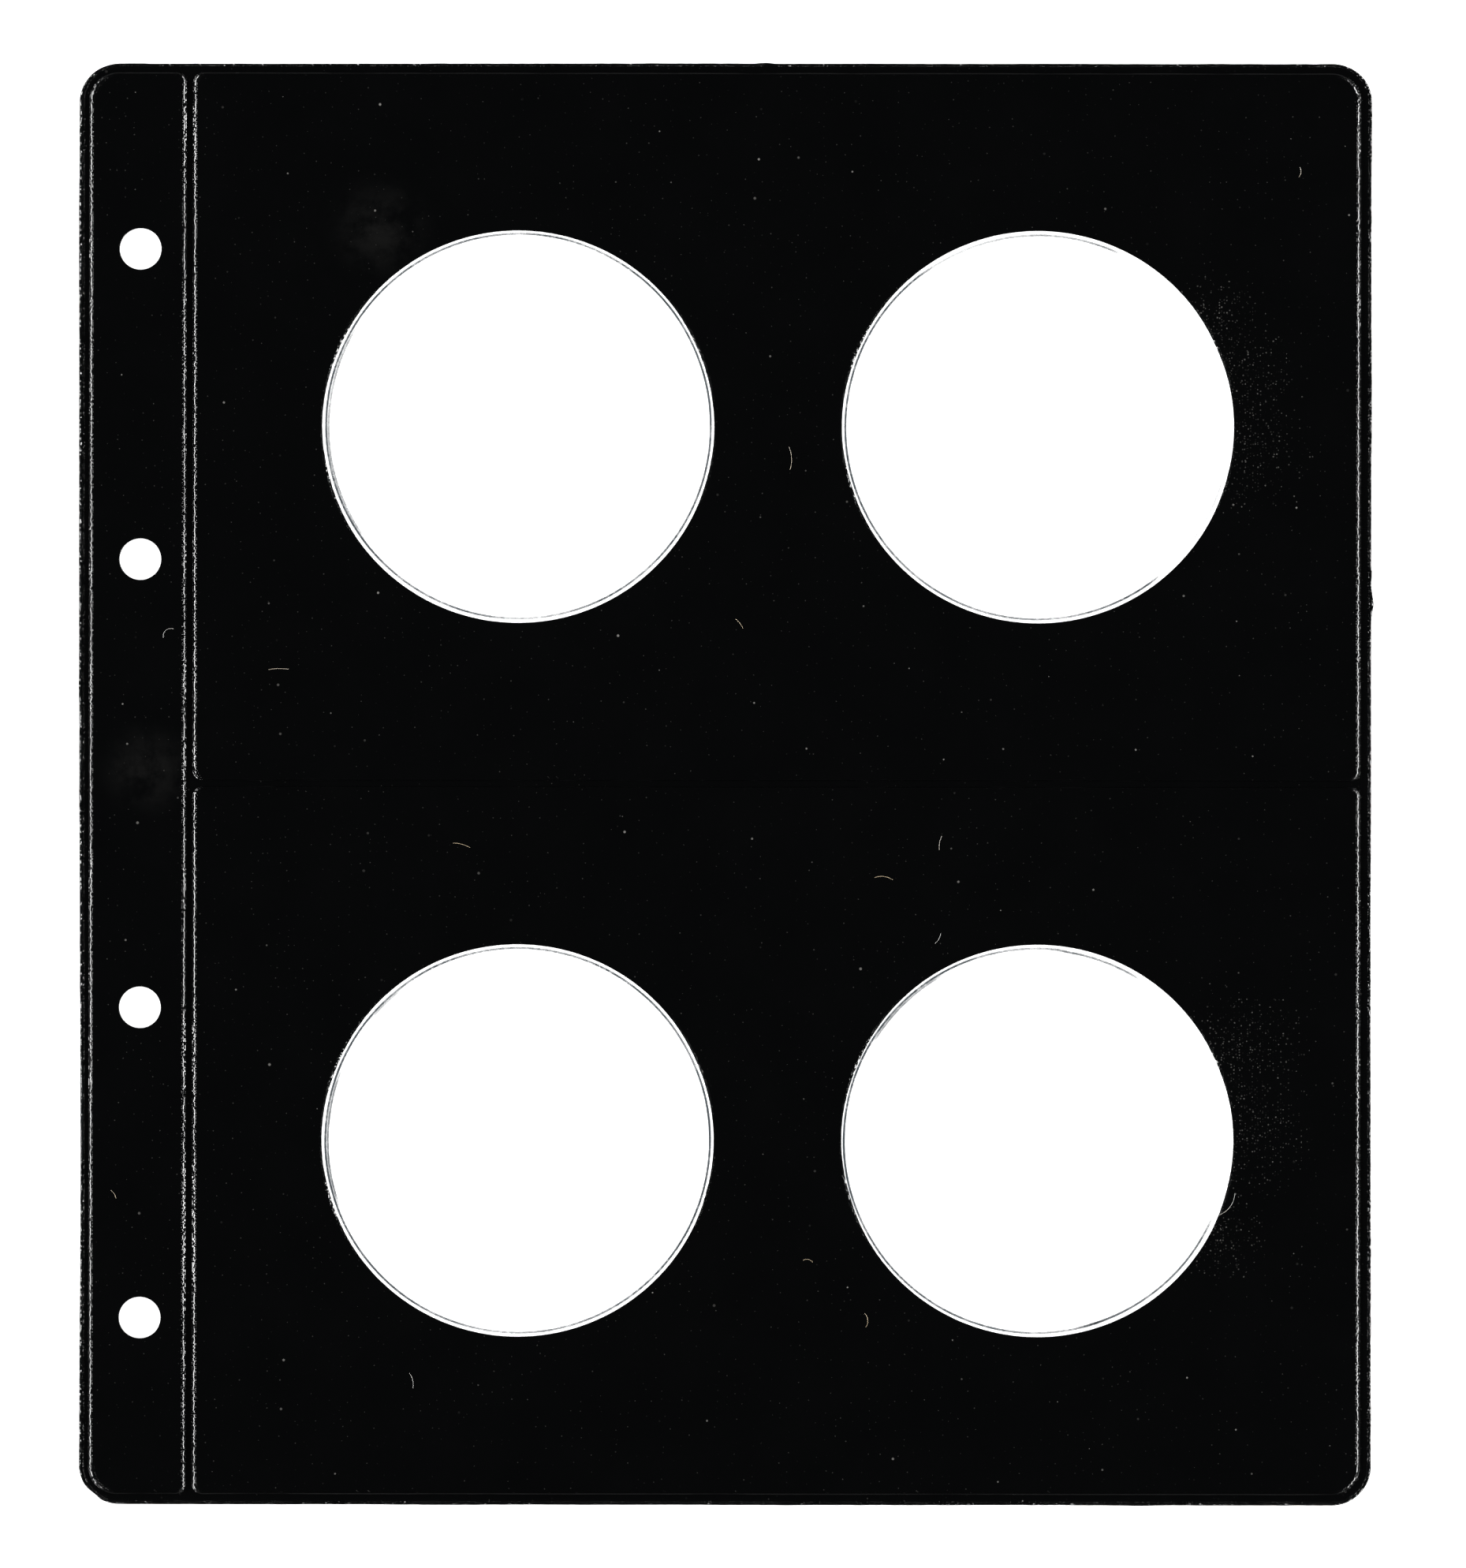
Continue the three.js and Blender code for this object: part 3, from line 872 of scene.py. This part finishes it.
for row_name, piece in flaps.items():
    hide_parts(f"{row_name}_flap")
    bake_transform(piece)

for film_name, piece in films.items():
    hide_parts(film_name)
    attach(piece, "leaf")

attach(lint, "leaf")
print(len(frame["nodes"]), "nodes are dressed by", 4 + len(films) + 1, "pieces")

# %% [markdown]
# ## Effects that the materials share
#
# An effect is a node group: it takes a place on the surface and gives a mask or a height. Object coordinates
# are in metres here, because every piece lies at the origin, so a scale is one over the size of a spot.

# %% Helpers for node trees
def node(tree, kind, links=None, **settings):
    """Adds a node, sets its properties, and fills or links its inputs by name."""
    made = tree.nodes.new(kind)
    for name, value in settings.items():
        setattr(made, name, value)
    for name, value in (links or {}).items():
        socket = made.inputs[name]
        if isinstance(value, bpy.types.NodeSocket):
            tree.links.new(value, socket)
        else:
            socket.default_value = value
    return made


def math_node(tree, operation, *values, clamp=False):
    links = dict(enumerate(values))
    return node(tree, "ShaderNodeMath", links, operation=operation, use_clamp=clamp).outputs[0]


def mixed(tree, factor, first, second):
    """A number between two others: the first at factor 0, the second at factor 1."""
    links = {"Factor": factor, "A": first, "B": second}
    return node(tree, "ShaderNodeMix", links, data_type="FLOAT").outputs["Result"]


def ramp(tree, value, low, high, to_low=0.0, to_high=1.0):
    """Maps a value smoothly from one range to another."""
    links = {"Value": value, "From Min": low, "From Max": high, "To Min": to_low, "To Max": to_high}
    return node(tree, "ShaderNodeMapRange", links, interpolation_type="SMOOTHSTEP").outputs["Result"]


def noise_node(tree, place, size, detail=2.0, roughness=0.5):
    """Noise whose features are about one size across."""
    links = {"Vector": place, "Scale": 1 / size, "Detail": detail, "Roughness": roughness}
    return node(tree, "ShaderNodeTexNoise", links).outputs["Fac"]


def effect_group(name, inputs, outputs):
    """An empty node group with named inputs and outputs."""
    tree = bpy.data.node_groups.new(name, "ShaderNodeTree")
    for socket_name, kind, default in inputs:
        socket = tree.interface.new_socket(socket_name, in_out="INPUT", socket_type=kind)
        if default is not None:
            socket.default_value = default
    for socket_name in outputs:
        tree.interface.new_socket(socket_name, in_out="OUTPUT", socket_type="NodeSocketFloat")
    return tree, tree.nodes.new("NodeGroupInput").outputs, tree.nodes.new("NodeGroupOutput").inputs


def place_group(tree, group, **links):
    """Puts a node group into a material's tree."""
    named = {name.replace("_", " "): value for name, value in links.items()}
    made = tree.nodes.new("ShaderNodeGroup")
    made.node_tree = group
    for name, value in named.items():
        if isinstance(value, bpy.types.NodeSocket):
            tree.links.new(value, made.inputs[name])
        else:
            made.inputs[name].default_value = value
    return made.outputs


# %% [markdown]
# Dust is a scatter of round specks, one in a few of the cells of a Voronoi texture, each with its own size
# and brightness. The texture is flat, because the dust lies on a flat page. Height is mixed in a little, so
# that the back doesn't show the front's dust mirrored.

# %% Dust specks
specks, given, put = effect_group(
    "dust_specks", [("Place", "NodeSocketVector", None), ("Spacing", "NodeSocketFloat", 2 * mm),
                    ("Share", "NodeSocketFloat", 0.3), ("Size", "NodeSocketFloat", 0.1)], ["Dust"])
parts = node(specks, "ShaderNodeSeparateXYZ", {"Vector": given["Place"]}).outputs
slanted = node(specks, "ShaderNodeCombineXYZ", {
    "X": math_node(specks, "MULTIPLY_ADD", parts["Z"], 9.0, parts["X"]),
    "Y": math_node(specks, "MULTIPLY_ADD", parts["Z"], -7.0, parts["Y"]), "Z": 0.0}).outputs["Vector"]
cells = node(specks, "ShaderNodeTexVoronoi", {
    "Vector": slanted, "Scale": math_node(specks, "DIVIDE", 1.0, given["Spacing"])}, voronoi_dimensions="2D")
chance = node(specks, "ShaderNodeSeparateColor", {"Color": cells.outputs["Color"]}).outputs
chosen = math_node(specks, "LESS_THAN", chance["Red"], given["Share"])
size = math_node(specks, "MULTIPLY_ADD", chance["Green"], 0.8, 0.4)
reach = math_node(specks, "MULTIPLY", given["Size"], size)
spot = ramp(specks, math_node(specks, "DIVIDE", cells.outputs["Distance"], reach), 0.5, 1.0, 1.0, 0.0)
bright = math_node(specks, "POWER", chance["Blue"], 3.0)
shown = math_node(specks, "MULTIPLY", spot, chosen)
specks.links.new(math_node(specks, "MULTIPLY", shown, bright), put["Dust"])

# %% [markdown]
# A smudge is a patch of haze round one place, broken up by noise. Two of them lie on the page. The patch
# without the noise also tells where fine powder lies, beside the right-hand windows.

# %% Haze smudges
smudge, given, put = effect_group(
    "haze_smudge", [("Place", "NodeSocketVector", None), ("Middle", "NodeSocketVector", (0, 0, 0)),
                    ("Reach", "NodeSocketFloat", 10 * mm)], ["Near", "Haze"])
away = node(smudge, "ShaderNodeVectorMath", {0: given["Place"], 1: given["Middle"]}, operation="DISTANCE")
near = ramp(smudge, math_node(smudge, "DIVIDE", away.outputs["Value"], given["Reach"]), 0.0, 1.0, 1.0, 0.0)
cloud = ramp(smudge, noise_node(smudge, given["Place"], 4 * mm, 6.0, 0.62), 0.3, 0.66)
smudge.links.new(near, put["Near"])
smudge.links.new(math_node(smudge, "MULTIPLY", near, cloud), put["Haze"])

# %% [markdown]
# Calendered vinyl has a fine, shallow grain. Where the hot tool pressed it, the grain is melted away and the
# weave of the tool's cloth leaves small flat facets, each leaning its own way, which is why the flanks glint
# in dots. A Voronoi texture gives the facets: the height in a cell is its lean times the way from its middle.
# The facets of a trimmed or melted edge are a little smaller and lean more to the sides.

# %% Flat facets
facets, given, put = effect_group(
    "flat_facets", [("Place", "NodeSocketVector", None), ("Size", "NodeSocketFloat", 0.2 * mm),
                    ("Steepest", "NodeSocketVector", (0, 0, 0))], ["Height"])


def vector_node(tree, operation, *values):
    return node(tree, "ShaderNodeVectorMath", dict(enumerate(values)), operation=operation).outputs


cells = node(facets, "ShaderNodeTexVoronoi", {
    "Vector": given["Place"], "Scale": math_node(facets, "DIVIDE", 1.0, given["Size"]), "Randomness": 0.75},
    voronoi_dimensions="2D").outputs
from_middle = vector_node(facets, "SUBTRACT", given["Place"], cells["Position"])["Vector"]
lean = vector_node(facets, "MULTIPLY_ADD", cells["Color"], (2, 2, 2), (-1, -1, -1))["Vector"]
lean = vector_node(facets, "MULTIPLY", lean, given["Steepest"])["Vector"]
facets.links.new(vector_node(facets, "DOT_PRODUCT", lean, from_middle)["Value"], put["Height"])
print("flat facets:", len(facets.nodes), "nodes")

# %% Grain, facets and roughness together
# Size of the facets, and how steeply they lean at most in x and y
WEAVE_SIZE, WEAVE_LEAN = 0.25 * mm, (0.15, 0.5, 0)
TORN_SIZE, TORN_LEAN = 0.22 * mm, (0.5, 0.3, 0)
TOOL_ROUGHNESS = 0.12

vinyl_relief, given, put = effect_group(
    "vinyl_relief", [("Place", "NodeSocketVector", None), ("Pressed", "NodeSocketFloat", 0.0),
                     ("Trimmed", "NodeSocketFloat", 0.0)], ["Grain", "Facets", "Roughness"])
place = given["Place"]
fine_grain = noise_node(vinyl_relief, place, 0.25 * mm, 3.0)
broad_grain = math_node(vinyl_relief, "MULTIPLY", noise_node(vinyl_relief, place, 6 * mm), 0.4)
grain = math_node(vinyl_relief, "MULTIPLY_ADD", fine_grain, 0.6, broad_grain)

weave = place_group(vinyl_relief, facets, Place=place, Size=WEAVE_SIZE, Steepest=WEAVE_LEAN)["Height"]
weave = math_node(vinyl_relief, "MULTIPLY", weave, given["Pressed"])
torn = place_group(vinyl_relief, facets, Place=place, Size=TORN_SIZE, Steepest=TORN_LEAN)["Height"]
torn = math_node(vinyl_relief, "MULTIPLY", torn, given["Trimmed"])

uneven = noise_node(vinyl_relief, place, 12 * mm, 4.0, 0.6)
flat_roughness = math_node(vinyl_relief, "MULTIPLY_ADD", uneven, 0.07, 0.16)
rough = mixed(vinyl_relief, given["Pressed"], flat_roughness, TOOL_ROUGHNESS)
rough = mixed(vinyl_relief, given["Trimmed"], rough, TOOL_ROUGHNESS)
vinyl_relief.links.new(math_node(vinyl_relief, "SUBTRACT", grain, given["Pressed"], clamp=True), put["Grain"])
vinyl_relief.links.new(math_node(vinyl_relief, "ADD", weave, torn), put["Facets"])
vinyl_relief.links.new(rough, put["Roughness"])
print("effect groups:", sorted(group.name for group in bpy.data.node_groups))

# %% [markdown]
# ## Black vinyl
#
# Black vinyl reflects almost nothing except its gloss, so the base colour is nearly zero and the look comes
# from grain, facets and dust. Dust is pale, and it also dulls the gloss where it lies. Seen from low down, a
# flat glossy sheet would mirror a whole lamp and turn white, so a Layer Weight node takes the gloss away
# there.

# %% The vinyl material
BLACK = (0.0004, 0.0005, 0.0006, 1)
DUST = (0.36, 0.35, 0.33, 1)
GRAIN_DEPTH = 0.006 * mm
# The gloss fades between these values of Facing, 30 and 22 degrees above the surface
SHALLOW = (0.5, 0.62)
# How much dust each kind brings, from 0 to 1
COARSE_DUST, FINE_DUST, POWDER_DUST, HAZE_DUST = 0.4, 0.08, 0.2, 0.012
DUST_ROUGHNESS = 0.4
POWDER_SHARE = 0.7
# Middle and reach of each smudge and of each patch of powder, in millimetres
SMUDGES = [((-50.4, 80.5, 1.2), 9), ((-84, 2, 1.2), 8)]
POWDERS = [((71, 67, 1.2), 9), ((73.5, 59, 1.2), 12), ((75, 49, 1.2), 12), ((74.5, -38, 1.2), 11),
           ((74.5, -50, 1.2), 13), ((71, -65, 1.2), 9)]


def new_material(name):
    material = bpy.data.materials.new(name)
    material.use_nodes = True
    return material, material.node_tree, material.node_tree.nodes["Principled BSDF"]


def connect(tree, value, socket):
    if isinstance(value, bpy.types.NodeSocket):
        tree.links.new(value, socket)
    else:
        socket.default_value = value


vinyl, tree, shader = new_material("black_vinyl_pressed")
here = node(tree, "ShaderNodeTexCoord").outputs["Object"]
pressed_mark = node(tree, "ShaderNodeAttribute", attribute_name="pressed").outputs["Fac"]
trimmed_mark = node(tree, "ShaderNodeAttribute", attribute_name="trimmed").outputs["Fac"]
relief = place_group(tree, vinyl_relief, Place=here, Pressed=pressed_mark, Trimmed=trimmed_mark)
fine = place_group(tree, specks, Place=here, Spacing=1.3 * mm, Share=0.6, Size=0.075)["Dust"]
coarse = place_group(tree, specks, Place=here, Spacing=7 * mm, Share=0.45, Size=0.03)["Dust"]


def patches(places, kind):
    """How much of a place the listed patches cover, from 0 to 1."""
    covered = 0.0
    for middle, reach in places:
        middle = [value * mm for value in middle]
        patch = place_group(tree, smudge, Place=here, Middle=middle, Reach=reach * mm)[kind]
        covered = math_node(tree, "MAXIMUM", patch, covered)
    return covered


powdery = math_node(tree, "MULTIPLY", patches(POWDERS, "Near"), POWDER_SHARE)
powder = place_group(tree, specks, Place=here, Spacing=0.38 * mm, Share=powdery, Size=0.32)["Dust"]
dusty = math_node(tree, "MULTIPLY", fine, FINE_DUST)
dusty = math_node(tree, "MULTIPLY_ADD", coarse, COARSE_DUST, dusty)
dusty = math_node(tree, "MULTIPLY_ADD", powder, POWDER_DUST, dusty)
dusty = math_node(tree, "MULTIPLY_ADD", patches(SMUDGES, "Haze"), HAZE_DUST, dusty, clamp=True)
colour = node(tree, "ShaderNodeMix", {"Factor": dusty}, data_type="RGBA")
colour.inputs["A"].default_value, colour.inputs["B"].default_value = BLACK, DUST
connect(tree, colour.outputs["Result"], shader.inputs["Base Color"])
rough = math_node(tree, "MULTIPLY_ADD", dusty, DUST_ROUGHNESS, relief["Roughness"], clamp=True)
facing = node(tree, "ShaderNodeLayerWeight", {"Blend": 0.5}).outputs["Facing"]
connect(tree, math_node(tree, "MAXIMUM", rough, ramp(tree, facing, *SHALLOW)), shader.inputs["Roughness"])
grained = node(tree, "ShaderNodeBump", {
    "Height": relief["Grain"], "Distance": GRAIN_DEPTH, "Strength": 1.0}).outputs["Normal"]
# The facets' height is in metres already, so their distance is 1
faceted = node(tree, "ShaderNodeBump", {
    "Height": relief["Facets"], "Distance": 1.0, "Strength": 1.0, "Normal": grained}).outputs["Normal"]
connect(tree, faceted, shader.inputs["Normal"])
shader.inputs["IOR"].default_value = 1.54
print("black vinyl has", len(tree.nodes), "nodes")

# %% [markdown]
# ## Clear film and lint
#
# The film is clear plastic, so it transmits. Its crease is frosted: the attribute makes it rough, and tints
# it grey-blue, which is painted shade for the dark line that light bent by the crease's slopes gives. Real
# glass would take a higher index of refraction than this soft film.

# %% The film and lint materials
# Painted shade: the crease's grey-blue tint stands in for the dark line of light bent by its slopes
CREASE_SHADE_COLOUR = (0.06, 0.07, 0.078, 1)
CLEAR_ROUGHNESS = 0.02
FROST_ROUGHNESS = 0.3
FILM_RIPPLE = 0.05 * mm

film_material, tree, shader = new_material("clear_film_glazing")
here = node(tree, "ShaderNodeTexCoord").outputs["Object"]
creased_mark = node(tree, "ShaderNodeAttribute", attribute_name="crease").outputs["Fac"]
broken = ramp(tree, noise_node(tree, here, 0.6 * mm, 4.0, 0.6), 0.35, 0.6, 0.7, 1.0)
# The crease mark both roughens the film and paints shade on it
crease_shade_and_frost = math_node(tree, "MULTIPLY", creased_mark, broken, clamp=True)
film_colour_with_crease_shade = node(tree, "ShaderNodeMix", {"Factor": crease_shade_and_frost}, data_type="RGBA")
film_colour_with_crease_shade.inputs["A"].default_value, film_colour_with_crease_shade.inputs["B"].default_value = (1, 1, 1, 1), CREASE_SHADE_COLOUR
connect(tree, film_colour_with_crease_shade.outputs["Result"], shader.inputs["Base Color"])
rough = math_node(tree, "MULTIPLY_ADD", crease_shade_and_frost, FROST_ROUGHNESS, CLEAR_ROUGHNESS)
connect(tree, rough, shader.inputs["Roughness"])
ripple = node(tree, "ShaderNodeBump", {
    "Height": noise_node(tree, here, 9 * mm, 1.0), "Distance": FILM_RIPPLE})
connect(tree, ripple.outputs["Normal"], shader.inputs["Normal"])
shader.inputs["Transmission Weight"].default_value = 1.0
shader.inputs["IOR"].default_value = 1.46

lint_material, tree, shader = new_material("lint_fibre")
here = node(tree, "ShaderNodeTexCoord").outputs["Object"]
straw = node(tree, "ShaderNodeMix", {"Factor": ramp(tree, noise_node(tree, here, 8 * mm), 0.35, 0.65)},
             data_type="RGBA")
straw.inputs["A"].default_value, straw.inputs["B"].default_value = (0.5, 0.5, 0.49, 1), (0.5, 0.4, 0.26, 1)
connect(tree, straw.outputs["Result"], shader.inputs["Base Color"])
shader.inputs["Roughness"].default_value = 0.7

for piece in (front_sheet, back_sheet, *flaps.values()):
    piece.data.materials.append(vinyl)
for piece in films.values():
    piece.data.materials.append(film_material)
lint.data.materials.append(lint_material)
print("materials:", vinyl.name, film_material.name, lint_material.name)

# %% [markdown]
# ## Floor
#
# The page lies on plain white. The white comes from the floor's own glow towards the camera and through the
# clear film, so no lamp has to be turned up for it, and the floor still takes the page's shadow. What the
# vinyl mirrors of the floor is a plain grey, and a mirrored ray that meets the floor close by goes through
# it. Seen from below, or by a shadow ray, the floor isn't there, so that the back of the page can be looked
# at too.

# %% White floor
FLOOR_GLOW = 0.97
MIRROR_GLOW = 0.4
FILM_GLOW = 1.2
CONTACT = 12 * mm
FLOOR_SIZE = 6
FLOOR_DROP = 0.02 * mm

floor_bm = bmesh.new()
bmesh.ops.create_grid(floor_bm, x_segments=1, y_segments=1, size=FLOOR_SIZE)
bmesh.ops.translate(floor_bm, verts=floor_bm.verts, vec=(0, 0, -FLOOR_DROP))
floor_mesh = bpy.data.meshes.new("floor")
floor_bm.to_mesh(floor_mesh)
floor_bm.free()
floor = bpy.data.objects.new("floor", floor_mesh)
bpy.context.scene.collection.objects.link(floor)

floor_material, tree, shader = new_material("white_floor")
shader.inputs["Base Color"].default_value = (0.8, 0.8, 0.8, 1)
shader.inputs["Roughness"].default_value = 0.9
rays = node(tree, "ShaderNodeLightPath").outputs
through_film = rays["Is Transmission Ray"]
seen = math_node(tree, "MULTIPLY", rays["Is Camera Ray"], FLOOR_GLOW)
glow = math_node(tree, "MAXIMUM", math_node(tree, "MULTIPLY", through_film, FILM_GLOW), seen)
shader.inputs["Emission Color"].default_value = (1, 1, 1, 1)
connect(tree, glow, shader.inputs["Emission Strength"])
mirrored = math_node(tree, "SUBTRACT", rays["Is Glossy Ray"], through_film, clamp=True)
touching = math_node(tree, "MULTIPLY", mirrored, math_node(tree, "LESS_THAN", rays["Ray Length"], CONTACT))
below = node(tree, "ShaderNodeNewGeometry").outputs["Backfacing"]
absent = math_node(tree, "MAXIMUM", math_node(tree, "MAXIMUM", below, rays["Is Shadow Ray"]), touching)
reflection = node(tree, "ShaderNodeEmission", {"Strength": MIRROR_GLOW}).outputs[0]
present = node(tree, "ShaderNodeMixShader", {0: mirrored, 1: shader.outputs[0], 2: reflection}).outputs[0]
clear = node(tree, "ShaderNodeBsdfTransparent").outputs[0]
floor_shader = node(tree, "ShaderNodeMixShader", {0: absent, 1: present, 2: clear})
tree.links.new(floor_shader.outputs[0], tree.nodes["Material Output"].inputs["Surface"])
floor.data.materials.append(floor_material)

# %% [markdown]
# ## Lamps, world and camera
#
# The photograph looks lit low down from both sides. Two soft strips on each side do that here: a flat black
# sheet mirrors the dark above it, and only the sloped flanks that face the strips glint.
# Four more strips below the floor light the back for views from under the page. The world is dim overhead,
# paler towards the horizon, and pale underneath, which the back of the page mirrors.

# %% Strip lamps
LAMP_DISTANCE = 1.0
LAMP_ELEVATION = math.radians(18.6)
LAMP_TURN = math.radians(22)
LAMP_LENGTH = 0.8
LAMP_HEIGHT = 0.2
LAMP_RADIANCE = 26.0

for side in (-1, 1):
    for turn in (-LAMP_TURN, LAMP_TURN):
        for level in (-1, 1):
            lamp_data = bpy.data.lights.new("strip_lamp", "AREA")
            lamp_data.shape = "RECTANGLE"
            lamp_data.size, lamp_data.size_y = LAMP_LENGTH, LAMP_HEIGHT
            lamp_data.energy = LAMP_RADIANCE * math.pi * LAMP_LENGTH * LAMP_HEIGHT
            lamp = bpy.data.objects.new("strip_lamp", lamp_data)
            level_place = Vector((side * math.cos(turn), math.sin(turn), 0))
            towards = level_place * math.cos(LAMP_ELEVATION)
            towards.z = level * math.sin(LAMP_ELEVATION)
            lamp.location = towards * LAMP_DISTANCE
            # The lamp shines along its own -Z, with its long side level
            lamp.rotation_mode = "QUATERNION"
            across = Vector((-level_place.y, level_place.x, 0))
            turned = Matrix((across, towards.cross(across), towards)).transposed()
            lamp.rotation_quaternion = turned.to_quaternion()
            lamp.visible_camera = False
            bpy.context.scene.collection.objects.link(lamp)
print("eight strips,", round(math.degrees(LAMP_ELEVATION), 1), "degrees above and below the floor")

# %% World
OVERHEAD = 0.02
HORIZON = 0.05
UNDERNEATH = 0.4
world = bpy.data.worlds.new("studio")
bpy.context.scene.world = world
world.use_nodes = True
tree = world.node_tree
direction = node(tree, "ShaderNodeTexCoord").outputs["Generated"]
height = node(tree, "ShaderNodeSeparateXYZ", {"Vector": direction}).outputs["Z"]
dim = ramp(tree, height, 0.0, 0.42, HORIZON, OVERHEAD)
dim = math_node(tree, "MAXIMUM", dim, ramp(tree, height, -0.15, 0.0, UNDERNEATH, 0.0))
rays = node(tree, "ShaderNodeLightPath").outputs
white = math_node(tree, "MAXIMUM", rays["Is Camera Ray"], rays["Is Transmission Ray"])
connect(tree, mixed(tree, white, dim, 1.0), tree.nodes["Background"].inputs["Strength"])
tree.nodes["Background"].inputs["Color"].default_value = (1, 1, 1, 1)

# %% [markdown]
# The photograph is a scan, so the camera looks straight down from far away with a long lens. The scan lay a
# touch askew, which a small roll of the camera gives.

# %% Camera
# The picture is taller than wide, so the sensor's size counts along its height, which is in pixels here
PHOTO_HEIGHT = 1988
PIXELS_PER_MM = 8.739
CAMERA_HEIGHT = 3.0
SCAN_SHIFT = (0.96 * mm, -0.03 * mm)
SCAN_ROLL = 0.001

camera_data = bpy.data.cameras.new("scan_camera")
camera_data.sensor_width = 36.0
camera_data.lens = camera_data.sensor_width * CAMERA_HEIGHT / (PHOTO_HEIGHT / PIXELS_PER_MM * mm)
camera_data.clip_end = 50
camera = bpy.data.objects.new("scan_camera", camera_data)
camera.location = (*SCAN_SHIFT, CAMERA_HEIGHT)
camera.rotation_euler = (0, 0, SCAN_ROLL)
bpy.context.scene.collection.objects.link(camera)
bpy.context.scene.camera = camera
bpy.context.scene.view_settings.view_transform = "Standard"
print("lens", round(camera_data.lens, 1), "mm from", CAMERA_HEIGHT, "m")
